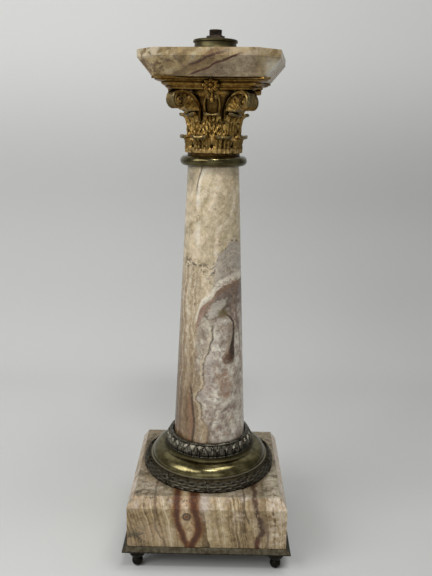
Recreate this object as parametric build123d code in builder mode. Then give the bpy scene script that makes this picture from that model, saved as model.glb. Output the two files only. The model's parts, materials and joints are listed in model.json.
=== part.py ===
from build123d import *

import os
from math import atan, cos, degrees, radians, sin, sqrt

# Column table lamp: onyx plinth, column and top slab with a bronze capital, held by one threaded tube.
# Millimetres, +Z up. The origin is on the floor, on the axis of the column. -Y is the front.

os.makedirs("parts", exist_ok=True)

# driving dimensions: feet and base plate
plate_side = 140.0
plate_thickness = 3.9
plate_lip = 1.0
plate_slope_width = 3.4
foot_height = 18.5
foot_inset = 11.6
foot_ball_radius = 4.6
foot_neck_radius = 2.7
foot_bowl_radius = 7.5
foot_bowl_depth = 4.4
foot_pad_radius = 1.5
foot_neck_drop = 0.8
foot_bowl_bulge = (6.0, 2.2)
stud_radius = 2.0
stud_end = 1.2
foot_nut_flats = 7.0
foot_nut_height = 3.2
nut_pocket_radius = 6.0
nut_pocket_depth = 7.0

# onyx plinth
plinth_side = 132.0
plinth_height = 44.3
plinth_bevel_width = 5.6
plinth_bevel_height = 9.0
stone_bore_radius = 6.5

# wreath ring round the foot of the column
wreath_outer_radius = 57.3
wreath_foot_radius = 56.4
wreath_foot_bulge = (57.1, 2.0)
wreath_shoulder_radius = 51.8
wreath_bore_radius = 49.5
wreath_height = 10.2
wreath_widest_height = 4.5
binding_count = 10
binding_angle = 5.0
binding_rise = 0.6
binding_start = -8.0
binding_sweep = 92.0

# polished base torus, spun in sheet brass
dish_wall_radius = 49.2
dish_listel_radius = 51.8
dish_listel_height = 0.7
dish_swell_radius = 50.6
dish_swell_height = 8.5
dish_crown_radius = 40.8
dish_neck_radius = 38.8
dish_neck_middle = (39.4, 0.8)
dish_neck_height = 2.3
dish_height = 22.3
dish_wall = 1.6
dish_shelf_radius = 37.0

# leaf band that cups the foot of the column
band_foot_radius = 37.4
band_widest_radius = 38.3
band_widest_height = 3.8
band_leaf_tip_radius = 36.2
band_leaf_tip_height = 8.6
band_rim_radius = 35.0
band_rim_edge = 0.6
band_height = 10.9
band_bore_radius = 32.1
band_leaf_count = 32
band_gap_foot_height = 2.2
band_gap_foot_width = 0.8
band_gap_top_width = 3.6
band_gap_reach = 36.0

# onyx column
column_foot_radius = 31.6
column_top_radius = 21.0
column_height = 242.7
column_edge = 0.6

# polished necking ring
necking_outer_radius = 27.2
necking_height = 8.0
necking_bore_radius = 15.0

# capital: bell
capital_turn = -4.0
bell_foot_radius = 21.2
bell_foot_height = 2.8
bell_radius = 20.2
bell_straight_height = 26.0
bell_lip_radius = 24.2
bell_lip_height = 3.4
bell_height = 50.2
bell_wall = 3.0
bell_flare = 0.7
bell_neck_step = 0.8

# capital: two tiers of eight leaves
leaf_count = 8
leaf_half_angle = 22.0
leaf_thickness = 1.25
leaf_lobes = 4
leaf_lobe_tip = 0.8
leaf_tip_taper = 0.75
leaf_notch_taper = 0.6
leaf_notch_width = 0.68
leaf_rib_rise = 0.7
leaf_rib_angle = 5.0
leaf_curl_radius = 3.8
leaf_roll_radius = 1.1
leaf_tip_half_width = 4.2
lower_leaf_radius = 22.9
lower_leaf_reach = 27.3
lower_leaf_rise = 13.8
lower_leaf_half_width = 8.4
lower_band_height = 3.2
upper_leaf_radius = 21.6
upper_leaf_reach = 27.9
upper_leaf_rise = 30.2
upper_leaf_foot = 7.0
upper_leaf_half_width = 8.0
upper_band_height = 5.0

# capital: corner volutes
volute_reach = 37.8
volute_radii = (6.9, 4.6, 3.5, 2.4)
volute_strap = 1.8
volute_width = 9.0
volute_disc_width = 7.4
volute_web_width = 5.0
volute_eye_radius = 1.9
volute_eye_width = 9.8
volute_eye_drop = 2.3
volute_root_width = 16.4
volute_root_drop = 15.4
volute_root_reach = 20.6
volute_fork_reach = 28.8
volute_fork_half_width = 3.6

# capital: inner helices and their stems
helix_radii = (2.6, 1.9, 1.3)
helix_strap = 1.0
helix_spread = 2.8
helix_reach = 25.2
helix_depth = 4.0
helix_top_gap = 2.4
stem_rise = 13.0

# capital: abacus and fleurons
abacus_height = 8.5
abacus_steps = 3
abacus_tread = 0.35
abacus_fillet = 1.8
abacus_horn_reach = 59.0
abacus_side_reach = 36.0
abacus_horn_width = 7.0
abacus_foot_horn_reach = 44.5
abacus_foot_side_reach = 29.5
fleuron_back = 27.4
fleuron_depth = 9.2
fleuron_ring_radius = 3.5
fleuron_petal_radius = 2.3
fleuron_petals = 6
fleuron_boss_radius = 2.2
fleuron_boss_height = 1.4
fleuron_boss_taper = 30.0
fleuron_drop = 1.6
pendant_radius = 1.5
pendant_drop = 11.0

# screws inside the capital
screw_radius = 1.4
screw_head_radius = 2.6
screw_head_height = 1.8
volute_screw_drop = 9.5
volute_screw_reach = 27.0
abacus_screw_reach = 22.6
abacus_screw_length = 14.0
thread_clearance = 0.05

# onyx top slab
slab_turn = -7.5
slab_half = 53.7
slab_cut = 16.0
slab_height = 19.0
slab_band = 5.5
slab_foot_half = 42.0
slab_foot_cut = 2.4

# brass collar, threaded tube, nuts and washer
collar_foot_radius = 19.6
collar_foot_height = 1.2
collar_waist_radius = 16.4
collar_rim_radius = 17.5
collar_rim_height = 1.8
collar_height = 10.8
collar_wall = 1.4
spigot_length = 5.0
running_gap = 0.06
tube_radius = 5.15
tube_bore_radius = 3.6
tube_below_nut = 1.5
tube_above_nut = 4.5
thread_relief_depth = 0.45
thread_relief_height = 0.5
lock_nut_flats = 12.4
lock_nut_height = 3.1
washer_radius = 12.0
washer_thickness = 1.6
bottom_nut_height = 4.6

# heights worked out from them

plate_z = foot_height
plinth_z = plate_z + plate_thickness
plinth_top = plinth_z + plinth_height
wreath_top = plinth_top + wreath_height
dish_top = plinth_top + dish_height
column_top = dish_top + column_height
necking_top = column_top + necking_height
bell_top = necking_top + bell_height
abacus_top = bell_top + abacus_height
slab_top = abacus_top + slab_height
collar_top = slab_top + collar_height
lock_nut_top = collar_top + lock_nut_height
tube_top = lock_nut_top + tube_above_nut
washer_z = plate_z - washer_thickness
bottom_nut_z = washer_z - bottom_nut_height
tube_bottom = bottom_nut_z - tube_below_nut

foot_place = plate_side / 2 - foot_inset
foot_places = {
    "front_left": (-foot_place, -foot_place),
    "front_right": (foot_place, -foot_place),
    "back_left": (-foot_place, foot_place),
    "back_right": (foot_place, foot_place),
}
side_turns = {"front": -90, "right": 0, "back": 90, "left": 180}
corner_turns = {"front_right": -45, "back_right": 45, "back_left": 135, "front_left": -135}


def write(part, name):
    """Label a finished sub-part and write its STEP file."""
    part.label = name
    export_step(part, f"parts/{name}.step")


def outward(turn):
    """Unit vector that points out from the column at this turn, seen from above."""
    return (cos(radians(turn)), sin(radians(turn)), 0)


def upright_plane(turn, place=(0, 0)):
    """Plane through a vertical axis: X runs outward at this turn, Y runs up."""
    x, y, _ = outward(turn)
    return Plane(origin=(*place, 0), x_dir=(x, y, 0), z_dir=(y, -x, 0))


def facing_plane(turn, reach):
    """Plane square to the outward direction at this reach: X runs round the column, Y runs up."""
    x, y, _ = outward(turn)
    return Plane(origin=(x * reach, y * reach, 0), x_dir=(-y, x, 0), z_dir=(x, y, 0))


# feet, their nuts and the base plate

ball_low = foot_ball_radius - sqrt(foot_ball_radius**2 - foot_pad_radius**2)
neck_z = foot_ball_radius * 2 - ball_low - foot_neck_drop
bowl_z = foot_height - foot_bowl_depth
stud_top = plinth_z + foot_nut_height + stud_end

for place_name, place in foot_places.items():
    with BuildPart() as foot:
        with BuildSketch(upright_plane(0, place)):
            with BuildLine():
                Line((0, 0), (foot_pad_radius, 0))
                ThreePointArc(
                    (foot_pad_radius, 0),
                    (foot_ball_radius, foot_ball_radius - ball_low),
                    (foot_neck_radius, neck_z),
                )
                ThreePointArc(
                    (foot_neck_radius, neck_z),
                    (foot_bowl_bulge[0], neck_z + foot_bowl_bulge[1]),
                    (foot_bowl_radius, bowl_z),
                )
                Polyline(
                    (foot_bowl_radius, bowl_z),
                    (foot_bowl_radius, foot_height),
                    (stud_radius, foot_height),
                    (stud_radius, stud_top),
                    (0, stud_top),
                    (0, 0),
                )
            make_face()
        revolve(axis=Axis((*place, 0), (0, 0, 1)))
    write(foot.part, f"foot_{place_name}")

with BuildPart() as foot_nuts:
    with BuildSketch(Plane.XY.offset(plinth_z)):
        with Locations(*foot_places.values()):
            RegularPolygon(foot_nut_flats / 2, 6, major_radius=False)
            Circle(stud_radius + thread_clearance, mode=Mode.SUBTRACT)
    extrude(amount=foot_nut_height)
write(foot_nuts.part, "foot_nuts")

slope_height = plate_thickness - plate_lip
with BuildPart() as base_plate:
    with BuildSketch(Plane.XY.offset(plate_z)):
        Rectangle(plate_side, plate_side)
    extrude(amount=plate_lip)
    with BuildSketch(Plane.XY.offset(plate_z + plate_lip)):
        Rectangle(plate_side, plate_side)
    extrude(amount=slope_height, taper=degrees(atan(plate_slope_width / slope_height)))
    with BuildSketch(Plane.XY.offset(plate_z)):
        with Locations(*foot_places.values()):
            Circle(stud_radius + thread_clearance)
        Circle(tube_radius + thread_clearance)
    extrude(amount=plate_thickness, mode=Mode.SUBTRACT)
write(base_plate.part, "base_plate")

# onyx plinth

straight_height = plinth_height - plinth_bevel_height
with BuildPart() as plinth:
    with BuildSketch(Plane.XY.offset(plinth_z)):
        Rectangle(plinth_side, plinth_side)
    extrude(amount=straight_height)
    with BuildSketch(Plane.XY.offset(plinth_z + straight_height)):
        Rectangle(plinth_side, plinth_side)
    extrude(amount=plinth_bevel_height, taper=degrees(atan(plinth_bevel_width / plinth_bevel_height)))
    with BuildSketch(Plane.XY.offset(plinth_z)):
        Circle(stone_bore_radius)
    extrude(amount=plinth_height, mode=Mode.SUBTRACT)
    with BuildSketch(Plane.XY.offset(plinth_z)):
        with Locations(*foot_places.values()):
            Circle(nut_pocket_radius)
    extrude(amount=nut_pocket_depth, mode=Mode.SUBTRACT)
write(plinth.part, "plinth_block")

# wreath ring round the column's foot

wreath_widest_z = plinth_top + wreath_widest_height
wreath_round_width = wreath_outer_radius - wreath_shoulder_radius
wreath_round_height = wreath_height - wreath_widest_height

with BuildPart() as wreath_ring:
    with BuildSketch(Plane.XZ):
        with BuildLine():
            crown = EllipticalCenterArc(
                (wreath_shoulder_radius, wreath_widest_z),
                wreath_round_width,
                wreath_round_height,
                start_angle=0,
                arc_size=90,
            )
            ThreePointArc(
                (wreath_foot_radius, plinth_top),
                (wreath_foot_bulge[0], plinth_top + wreath_foot_bulge[1]),
                crown @ 0,
            )
            Polyline(
                crown @ 1,
                (wreath_bore_radius, wreath_top),
                (wreath_bore_radius, plinth_top),
                (wreath_foot_radius, plinth_top),
            )
        make_face()
    revolve(axis=Axis.Z)
    for binding in range(binding_count):
        turn = (binding + 0.5) * 360 / binding_count - binding_angle / 2
        with BuildSketch(upright_plane(turn)):
            with BuildLine():
                outer = EllipticalCenterArc(
                    (wreath_shoulder_radius, wreath_widest_z),
                    wreath_round_width + binding_rise,
                    wreath_round_height + binding_rise,
                    start_angle=binding_start,
                    arc_size=binding_sweep,
                )
                inner = EllipticalCenterArc(
                    (wreath_shoulder_radius, wreath_widest_z),
                    wreath_round_width - binding_rise,
                    wreath_round_height - binding_rise,
                    start_angle=binding_start,
                    arc_size=binding_sweep,
                )
                Line(outer @ 0, inner @ 0)
                Line(outer @ 1, inner @ 1)
            make_face()
        revolve(axis=Axis.Z, revolution_arc=binding_angle)
write(wreath_ring.part, "wreath_ring")

# polished base torus

swell_z = wreath_top + dish_listel_height
crown_z = swell_z + dish_swell_height
neck_top_z = crown_z + dish_neck_height

with BuildPart() as base_torus:
    with BuildSketch(Plane.XZ):
        with BuildLine():
            swell = EllipticalCenterArc(
                (dish_crown_radius, swell_z),
                dish_swell_radius - dish_crown_radius,
                dish_swell_height,
                start_angle=0,
                arc_size=90,
            )
            ThreePointArc(
                swell @ 1,
                (dish_neck_middle[0], crown_z + dish_neck_middle[1]),
                (dish_neck_radius, neck_top_z),
            )
            Polyline(
                swell @ 0,
                (dish_listel_radius, swell_z),
                (dish_listel_radius, wreath_top),
                (dish_wall_radius, wreath_top),
                (dish_wall_radius, plinth_top),
                (dish_wall_radius - dish_wall, plinth_top),
                (dish_wall_radius - dish_wall, swell_z),
            )
            hollow = EllipticalCenterArc(
                (dish_crown_radius - dish_wall / 2, swell_z),
                dish_wall_radius - dish_wall / 2 - dish_crown_radius,
                dish_swell_height - dish_wall,
                start_angle=0,
                arc_size=90,
            )
            Polyline(
                hollow @ 1,
                (dish_shelf_radius, crown_z - dish_wall),
                (dish_shelf_radius, dish_top - dish_wall),
                (tube_radius + thread_clearance, dish_top - dish_wall),
                (tube_radius + thread_clearance, dish_top),
                (dish_neck_radius, dish_top),
                (dish_neck_radius, neck_top_z),
            )
        make_face()
    revolve(axis=Axis.Z)
write(base_torus.part, "base_torus")

# leaf band

band_top = dish_top + band_height
leaf_tip_z = dish_top + band_leaf_tip_height
gap_foot_z = dish_top + band_gap_foot_height

with BuildPart() as leaf_band:
    with BuildSketch(Plane.XZ):
        with BuildLine():
            ThreePointArc(
                (band_foot_radius, dish_top),
                (band_widest_radius, dish_top + band_widest_height),
                (band_leaf_tip_radius, leaf_tip_z),
            )
            Polyline(
                (band_leaf_tip_radius, leaf_tip_z),
                (band_rim_radius, leaf_tip_z),
                (band_rim_radius, band_top - band_rim_edge),
                (band_rim_radius - band_rim_edge, band_top),
                (band_bore_radius, band_top),
                (band_bore_radius, dish_top),
                (band_foot_radius, dish_top),
            )
        make_face()
    revolve(axis=Axis.Z)
    for gap in range(band_leaf_count):
        with BuildSketch(facing_plane(gap * 360 / band_leaf_count, band_gap_reach)):
            with BuildLine():
                Polyline(
                    (-band_gap_foot_width / 2, gap_foot_z),
                    (band_gap_foot_width / 2, gap_foot_z),
                    (band_gap_top_width / 2, leaf_tip_z),
                    (-band_gap_top_width / 2, leaf_tip_z),
                    close=True,
                )
            make_face()
        extrude(amount=band_widest_radius, mode=Mode.SUBTRACT)
write(leaf_band.part, "leaf_band")

# onyx column

with BuildPart() as column:
    with BuildSketch(Plane.XZ):
        with BuildLine():
            Polyline(
                (stone_bore_radius, dish_top),
                (column_foot_radius - column_edge, dish_top),
                (column_foot_radius, dish_top + column_edge),
                (column_top_radius, column_top - column_edge),
                (column_top_radius - column_edge, column_top),
                (stone_bore_radius, column_top),
                close=True,
            )
        make_face()
    revolve(axis=Axis.Z)
write(column.part, "column_shaft")

# polished necking ring

necking_round = necking_height / 2
with BuildPart() as necking_ring:
    with BuildSketch(Plane.XZ):
        with BuildLine():
            bulge = CenterArc(
                (necking_outer_radius - necking_round, column_top + necking_round), necking_round, -90, 180
            )
            Polyline(
                bulge @ 1,
                (necking_bore_radius, necking_top),
                (necking_bore_radius, column_top),
                bulge @ 0,
            )
        make_face()
    revolve(axis=Axis.Z)
write(necking_ring.part, "necking_ring")

# capital: bell

bell_lip_z = bell_top - bell_lip_height
bell_straight_z = necking_top + bell_straight_height


def bell_solid():
    """The bell's outer shape as a full solid, which the pieces that seat on it are cut back to."""
    with BuildPart() as solid:
        with BuildSketch(Plane.XZ):
            with BuildLine():
                Polyline(
                    (0, necking_top),
                    (bell_foot_radius, necking_top),
                    (bell_foot_radius, necking_top + bell_foot_height),
                    (bell_radius, necking_top + bell_foot_height),
                    (bell_radius, bell_straight_z),
                )
                ThreePointArc(
                    (bell_radius, bell_straight_z),
                    (bell_radius + bell_flare, (bell_straight_z + bell_lip_z) / 2),
                    (bell_lip_radius - bell_neck_step, bell_lip_z),
                )
                Polyline(
                    (bell_lip_radius - bell_neck_step, bell_lip_z),
                    (bell_lip_radius, bell_lip_z),
                    (bell_lip_radius, bell_top),
                    (0, bell_top),
                    (0, necking_top),
                )
            make_face()
        revolve(axis=Axis.Z)
    return solid.part


bell_blank = bell_solid()
volute_screw_z = bell_top - volute_screw_drop

with BuildPart() as bell:
    add(bell_blank)
    with BuildSketch(Plane.XY.offset(necking_top + bell_wall)):
        Circle(bell_radius - bell_wall)
    extrude(amount=bell_height - bell_wall, mode=Mode.SUBTRACT)
    with BuildSketch(Plane.XY.offset(necking_top)):
        Circle(tube_radius + running_gap)
    extrude(amount=bell_wall, mode=Mode.SUBTRACT)
    for turn in corner_turns.values():
        with BuildSketch(facing_plane(turn + capital_turn, 0)):
            with Locations((0, volute_screw_z)):
                Circle(screw_radius + thread_clearance)
        extrude(amount=bell_lip_radius, mode=Mode.SUBTRACT)
        with BuildSketch(Plane.XY.offset(abacus_top - abacus_screw_length)):
            x, y, _ = outward(turn + capital_turn)
            with Locations((x * abacus_screw_reach, y * abacus_screw_reach)):
                Circle(screw_radius + thread_clearance)
        extrude(amount=abacus_screw_length, mode=Mode.SUBTRACT)
write(bell.part, "capital_bell")

# capital: leaf tiers


def leaf_section(radius, reach, foot_z, tip_z):
    """Side view of a leaf: up the bell, a quarter turn outward and a rolled tip."""
    curl_x = radius + leaf_curl_radius
    curl_z = tip_z - leaf_thickness - leaf_curl_radius
    inner = radius - leaf_thickness
    lip_x = reach - leaf_roll_radius
    with BuildSketch() as section:
        with BuildLine():
            Line((radius, foot_z), (radius, curl_z))
            under = CenterArc((curl_x, curl_z), leaf_curl_radius, 180, -90)
            Polyline(under @ 1, (lip_x, tip_z - leaf_thickness), (lip_x, tip_z))
            over = CenterArc((curl_x, curl_z), leaf_curl_radius + leaf_thickness, 180, -90)
            Line(over @ 1, (lip_x, tip_z))
            Polyline((inner, curl_z), (inner, foot_z), (radius, foot_z))
        make_face()
        with Locations((lip_x, tip_z - leaf_roll_radius)):
            Circle(leaf_roll_radius)
    return section.sketch


def leaf_outline(foot_z, tip_z, half_width):
    """Front view of a leaf: a lobed edge that narrows towards the tip."""
    height = tip_z - foot_z
    edge = [(half_width * leaf_notch_width, foot_z)]
    for lobe in range(leaf_lobes):
        tip_share = (lobe + leaf_lobe_tip) / leaf_lobes
        notch_share = (lobe + 1) / leaf_lobes
        tip_width = half_width * sqrt(1 - leaf_tip_taper * tip_share**3)
        notch_width = half_width * leaf_notch_width * sqrt(1 - leaf_notch_taper * notch_share**3)
        edge.append((tip_width, foot_z + height * tip_share))
        edge.append((notch_width, foot_z + height * notch_share))
    with BuildSketch() as outline:
        with BuildLine():
            Polyline(*edge, *[(-x, z) for x, z in reversed(edge)], close=True)
        make_face()
    return outline.sketch


def leaf(radius, reach, foot_z, tip_z, half_width):
    """One leaf on the +X side, cut to its lobed outline, with a raised middle rib."""
    with BuildPart() as blade:
        with BuildSketch(upright_plane(-leaf_half_angle)):
            add(leaf_section(radius, reach, foot_z, tip_z))
        revolve(axis=Axis.Z, revolution_arc=2 * leaf_half_angle)
        with BuildSketch(facing_plane(0, 0)):
            add(leaf_outline(foot_z, tip_z, half_width))
        extrude(amount=reach + 1, mode=Mode.INTERSECT)
        with BuildSketch(Plane.XY.offset(foot_z)):
            Circle(radius + leaf_curl_radius * 0.5)
            with Locations((radius, 0)):
                Ellipse(reach - radius, leaf_tip_half_width)
        extrude(amount=tip_z - foot_z, mode=Mode.INTERSECT)
        with BuildSketch(facing_plane(0, radius - leaf_thickness)):
            with Locations((0, foot_z)):
                Rectangle(
                    2 * radius * sin(radians(leaf_rib_angle / 2)),
                    tip_z - foot_z - leaf_curl_radius - leaf_thickness,
                    align=(Align.CENTER, Align.MIN),
                )
        extrude(amount=leaf_thickness + leaf_rib_rise)
    return blade.part


def leaf_tier(radius, reach, foot_z, tip_z, half_width, band_height, first_turn):
    """Eight leaves on the band that carries them, cast in one."""
    one_leaf = leaf(radius, reach, foot_z, tip_z, half_width)
    with BuildPart() as tier:
        with BuildSketch(Plane.XY.offset(foot_z)):
            Circle(radius)
            Circle(bell_radius, mode=Mode.SUBTRACT)
        extrude(amount=band_height)
        with PolarLocations(0, leaf_count, start_angle=first_turn + capital_turn):
            add(one_leaf)
        with BuildSketch(Plane.XY.offset(foot_z)):
            Circle(bell_radius)
        extrude(amount=band_height, mode=Mode.SUBTRACT)
    return tier.part


lower_foot_z = necking_top + bell_foot_height
write(
    leaf_tier(
        lower_leaf_radius,
        lower_leaf_reach,
        lower_foot_z,
        lower_foot_z + lower_leaf_rise,
        lower_leaf_half_width,
        lower_band_height,
        180 / leaf_count,
    ),
    "lower_leaf_tier",
)
write(
    leaf_tier(
        upper_leaf_radius,
        upper_leaf_reach,
        lower_foot_z + upper_leaf_foot,
        lower_foot_z + upper_leaf_rise,
        upper_leaf_half_width,
        upper_band_height,
        0,
    ),
    "upper_leaf_tier",
)

# capital: scrolls


def scroll(centre, radii, strap, start_angle, direction):
    """Flat spiral strap made of half turns, each on a smaller radius than the one before."""
    x, y = centre
    angle = start_angle
    with BuildSketch() as spiral:
        for radius, next_radius in zip(radii, radii[1:] + radii[-1:]):
            with BuildLine():
                outer = CenterArc((x, y), radius, angle, direction * 180)
                inner = CenterArc((x, y), radius - strap, angle, direction * 180)
                Line(outer @ 0, inner @ 0)
                Line(outer @ 1, inner @ 1)
            make_face()
            angle += direction * 180
            x += (radius - next_radius) * cos(radians(angle))
            y += (radius - next_radius) * sin(radians(angle))
    return spiral.sketch


volute_centre_z = bell_top - volute_radii[0]
volute_rise_x = volute_reach - volute_root_reach

for corner_name, corner_turn in corner_turns.items():
    turn = corner_turn + capital_turn
    with BuildPart() as volute:
        with BuildSketch(upright_plane(turn)):
            with BuildLine():
                back = EllipticalCenterArc(
                    (volute_reach, bell_top - volute_root_drop),
                    volute_rise_x,
                    volute_root_drop,
                    start_angle=90,
                    arc_size=90,
                )
                belly = EllipticalCenterArc(
                    (volute_reach, bell_top - volute_root_drop),
                    volute_rise_x - volute_strap,
                    volute_root_drop - volute_strap,
                    start_angle=90,
                    arc_size=90,
                )
                Line(back @ 0, belly @ 0)
                Line(back @ 1, belly @ 1)
            make_face()
        extrude(amount=volute_root_width / 2, both=True)
        with BuildSketch(Plane.XY.offset(bell_top - volute_root_drop)):
            x, y, _ = outward(turn)
            half_plan = [
                (volute_fork_reach, 0),
                (volute_root_reach - 1, volute_fork_half_width),
                (volute_root_reach - 1, volute_root_width / 2),
                (volute_reach - volute_strap, volute_width / 2),
                (volute_reach + 1, volute_width / 2),
            ]
            plan = half_plan + [(r, -w) for r, w in reversed(half_plan[1:])]
            with BuildLine():
                Polyline(*[(r * x - w * y, r * y + w * x) for r, w in plan], close=True)
            make_face()
        extrude(amount=volute_root_drop, mode=Mode.INTERSECT)
        with BuildSketch(upright_plane(turn)):
            add(scroll((volute_reach, volute_centre_z), volute_radii, volute_strap, 90, -1))
        extrude(amount=volute_width / 2, both=True)
        with BuildSketch(upright_plane(turn)):
            with Locations((volute_reach, volute_centre_z)):
                Circle(volute_radii[0] - volute_strap / 2)
        extrude(amount=volute_disc_width / 2, both=True)
        with BuildSketch(upright_plane(turn)):
            with Locations((volute_reach, volute_centre_z - volute_eye_drop)):
                Circle(volute_eye_radius)
        extrude(amount=volute_eye_width / 2, both=True)
        with BuildSketch(upright_plane(turn)):
            with BuildLine():
                back = EllipticalCenterArc(
                    (volute_reach, bell_top - volute_root_drop),
                    volute_rise_x - volute_strap / 2,
                    volute_root_drop - volute_strap / 2,
                    start_angle=90,
                    arc_size=90,
                )
                Polyline(back @ 1, (volute_reach, volute_centre_z - volute_radii[0] + 1), back @ 0)
            make_face()
        extrude(amount=volute_web_width / 2, both=True)
        add(bell_blank, mode=Mode.SUBTRACT)
        with BuildSketch(facing_plane(turn, 0)):
            with Locations((0, volute_screw_z)):
                Circle(screw_radius + thread_clearance)
        extrude(amount=volute_screw_reach + 0.3, mode=Mode.SUBTRACT)
    write(volute.part, f"volute_{corner_name}")

helix_centre_z = bell_top - helix_top_gap - helix_radii[0]

for side_name, side_turn in side_turns.items():
    turn = side_turn + capital_turn
    with BuildPart() as helices:
        with BuildSketch(facing_plane(turn, helix_reach)):
            curl = scroll((helix_spread, helix_centre_z), helix_radii, helix_strap, 0, 1)
            add(curl)
            add(mirror(curl, about=Plane.YZ, mode=Mode.PRIVATE))
            for spread in (helix_spread, -helix_spread):
                with Locations((spread, helix_centre_z)):
                    Circle(helix_radii[-1])
            with Locations((0, helix_centre_z)):
                Rectangle(2 * helix_spread - 2, helix_strap * 2)
            stem_x = helix_spread + helix_radii[0] - helix_strap / 2
            for stem_place in (stem_x, -stem_x):
                with Locations((stem_place, helix_centre_z)):
                    Rectangle(helix_strap, stem_rise, align=(Align.CENTER, Align.MAX))
        extrude(amount=-helix_depth)
        add(bell_blank, mode=Mode.SUBTRACT)
    write(helices.part, f"helices_{side_name}")

# capital: abacus and fleurons


def abacus_outline(share):
    """Plan of the abacus from its foot (share 0) to its top (share 1): hollow sides and cut horns."""
    horn = abacus_foot_horn_reach + share * (abacus_horn_reach - abacus_foot_horn_reach)
    side = abacus_foot_side_reach + share * (abacus_side_reach - abacus_foot_side_reach)
    half_cut = abacus_horn_width / 2
    with BuildSketch() as outline:
        with BuildLine():
            for side_turn in side_turns.values():
                x, y, _ = outward(side_turn + capital_turn - 45)
                start = (horn * x - half_cut * y, horn * y + half_cut * x)
                x, y, _ = outward(side_turn + capital_turn)
                middle = (side * x, side * y)
                x, y, _ = outward(side_turn + capital_turn + 45)
                end = (horn * x + half_cut * y, horn * y - half_cut * x)
                corner = (horn * x - half_cut * y, horn * y + half_cut * x)
                ThreePointArc(start, middle, end)
                Line(end, corner)
        make_face()
    return outline.sketch


step_height = (abacus_height - abacus_fillet) / abacus_steps
with BuildPart() as abacus:
    for step in range(abacus_steps):
        step_z = bell_top + step * step_height
        low_share = step / abacus_steps
        high_share = (step + 1 - abacus_tread) / abacus_steps
        with BuildSketch(Plane.XY.offset(step_z)):
            add(abacus_outline(low_share))
        with BuildSketch(Plane.XY.offset(step_z + step_height)):
            add(abacus_outline(high_share))
        loft(ruled=True)
    with BuildSketch(Plane.XY.offset(abacus_top - abacus_fillet)):
        add(abacus_outline(1))
    extrude(amount=abacus_fillet)
    with BuildSketch(Plane.XY.offset(bell_top)):
        Circle(stone_bore_radius)
    extrude(amount=abacus_height, mode=Mode.SUBTRACT)
    for turn in corner_turns.values():
        x, y, _ = outward(turn + capital_turn)
        with Locations((x * abacus_screw_reach, y * abacus_screw_reach, abacus_top)):
            CounterSinkHole(
                screw_radius + thread_clearance, screw_head_radius + thread_clearance, abacus_height
            )
write(abacus.part, "abacus")

fleuron_z = (bell_top + abacus_top) / 2 - fleuron_drop
for side_name, side_turn in side_turns.items():
    turn = side_turn + capital_turn
    with BuildPart() as fleuron:
        with BuildSketch(facing_plane(turn, fleuron_back)):
            with Locations((0, fleuron_z)):
                Circle(fleuron_ring_radius)
                with PolarLocations(fleuron_ring_radius, fleuron_petals):
                    Circle(fleuron_petal_radius)
        extrude(amount=fleuron_depth)
        with BuildSketch(facing_plane(turn, fleuron_back + fleuron_depth)):
            with Locations((0, fleuron_z)):
                Circle(fleuron_boss_radius)
        extrude(amount=fleuron_boss_height, taper=fleuron_boss_taper)
        with BuildSketch(facing_plane(turn, helix_reach + pendant_radius)):
            with Locations((0, fleuron_z)):
                Rectangle(2 * pendant_radius, pendant_drop, align=(Align.CENTER, Align.MAX))
            with Locations((0, fleuron_z - pendant_drop)):
                Circle(pendant_radius)
        extrude(amount=pendant_radius, both=True)
        add(bell_blank, mode=Mode.SUBTRACT)
        add(abacus.part, mode=Mode.SUBTRACT)
    write(fleuron.part, f"fleuron_{side_name}")

# capital: screws

with BuildPart() as volute_screws:
    for turn in corner_turns.values():
        head_reach = bell_radius - bell_wall - screw_head_height - 0.2
        with BuildSketch(facing_plane(turn + capital_turn, head_reach)):
            with Locations((0, volute_screw_z)):
                Circle(screw_head_radius)
        extrude(amount=screw_head_height)
        with BuildSketch(facing_plane(turn + capital_turn, head_reach)):
            with Locations((0, volute_screw_z)):
                Circle(screw_radius)
        extrude(amount=volute_screw_reach - head_reach)
write(volute_screws.part, "volute_screws")

with BuildPart() as abacus_screws:
    for turn in corner_turns.values():
        x, y, _ = outward(turn + capital_turn)
        with Locations((x * abacus_screw_reach, y * abacus_screw_reach, abacus_top)):
            cone_height = screw_head_radius - screw_radius
            Cone(
                screw_radius,
                screw_head_radius,
                cone_height,
                align=(Align.CENTER, Align.CENTER, Align.MAX),
            )
            Cylinder(
                screw_radius,
                abacus_screw_length - 0.5,
                align=(Align.CENTER, Align.CENTER, Align.MAX),
            )
write(abacus_screws.part, "abacus_screws")

# onyx top slab


def slab_outline(half, cut):
    """Square with cut corners, turned with the slab."""
    with BuildSketch(Plane.XY) as outline:
        with Locations(Rotation(0, 0, slab_turn)):
            Rectangle(2 * half, 2 * half)
        chamfer(outline.vertices(), cut)
    return outline.sketch


with BuildPart() as slab:
    with BuildSketch(Plane.XY.offset(abacus_top)):
        add(slab_outline(slab_foot_half, slab_foot_cut))
    with BuildSketch(Plane.XY.offset(slab_top - slab_band)):
        add(slab_outline(slab_half, slab_cut))
    loft(ruled=True)
    with BuildSketch(Plane.XY.offset(slab_top - slab_band)):
        add(slab_outline(slab_half, slab_cut))
    extrude(amount=slab_band)
    with BuildSketch(Plane.XY.offset(abacus_top)):
        Circle(stone_bore_radius)
    extrude(amount=slab_height, mode=Mode.SUBTRACT)
write(slab.part, "top_slab")

# brass collar on the slab

rim_z = collar_top - collar_rim_height
spigot_radius = stone_bore_radius - running_gap

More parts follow.
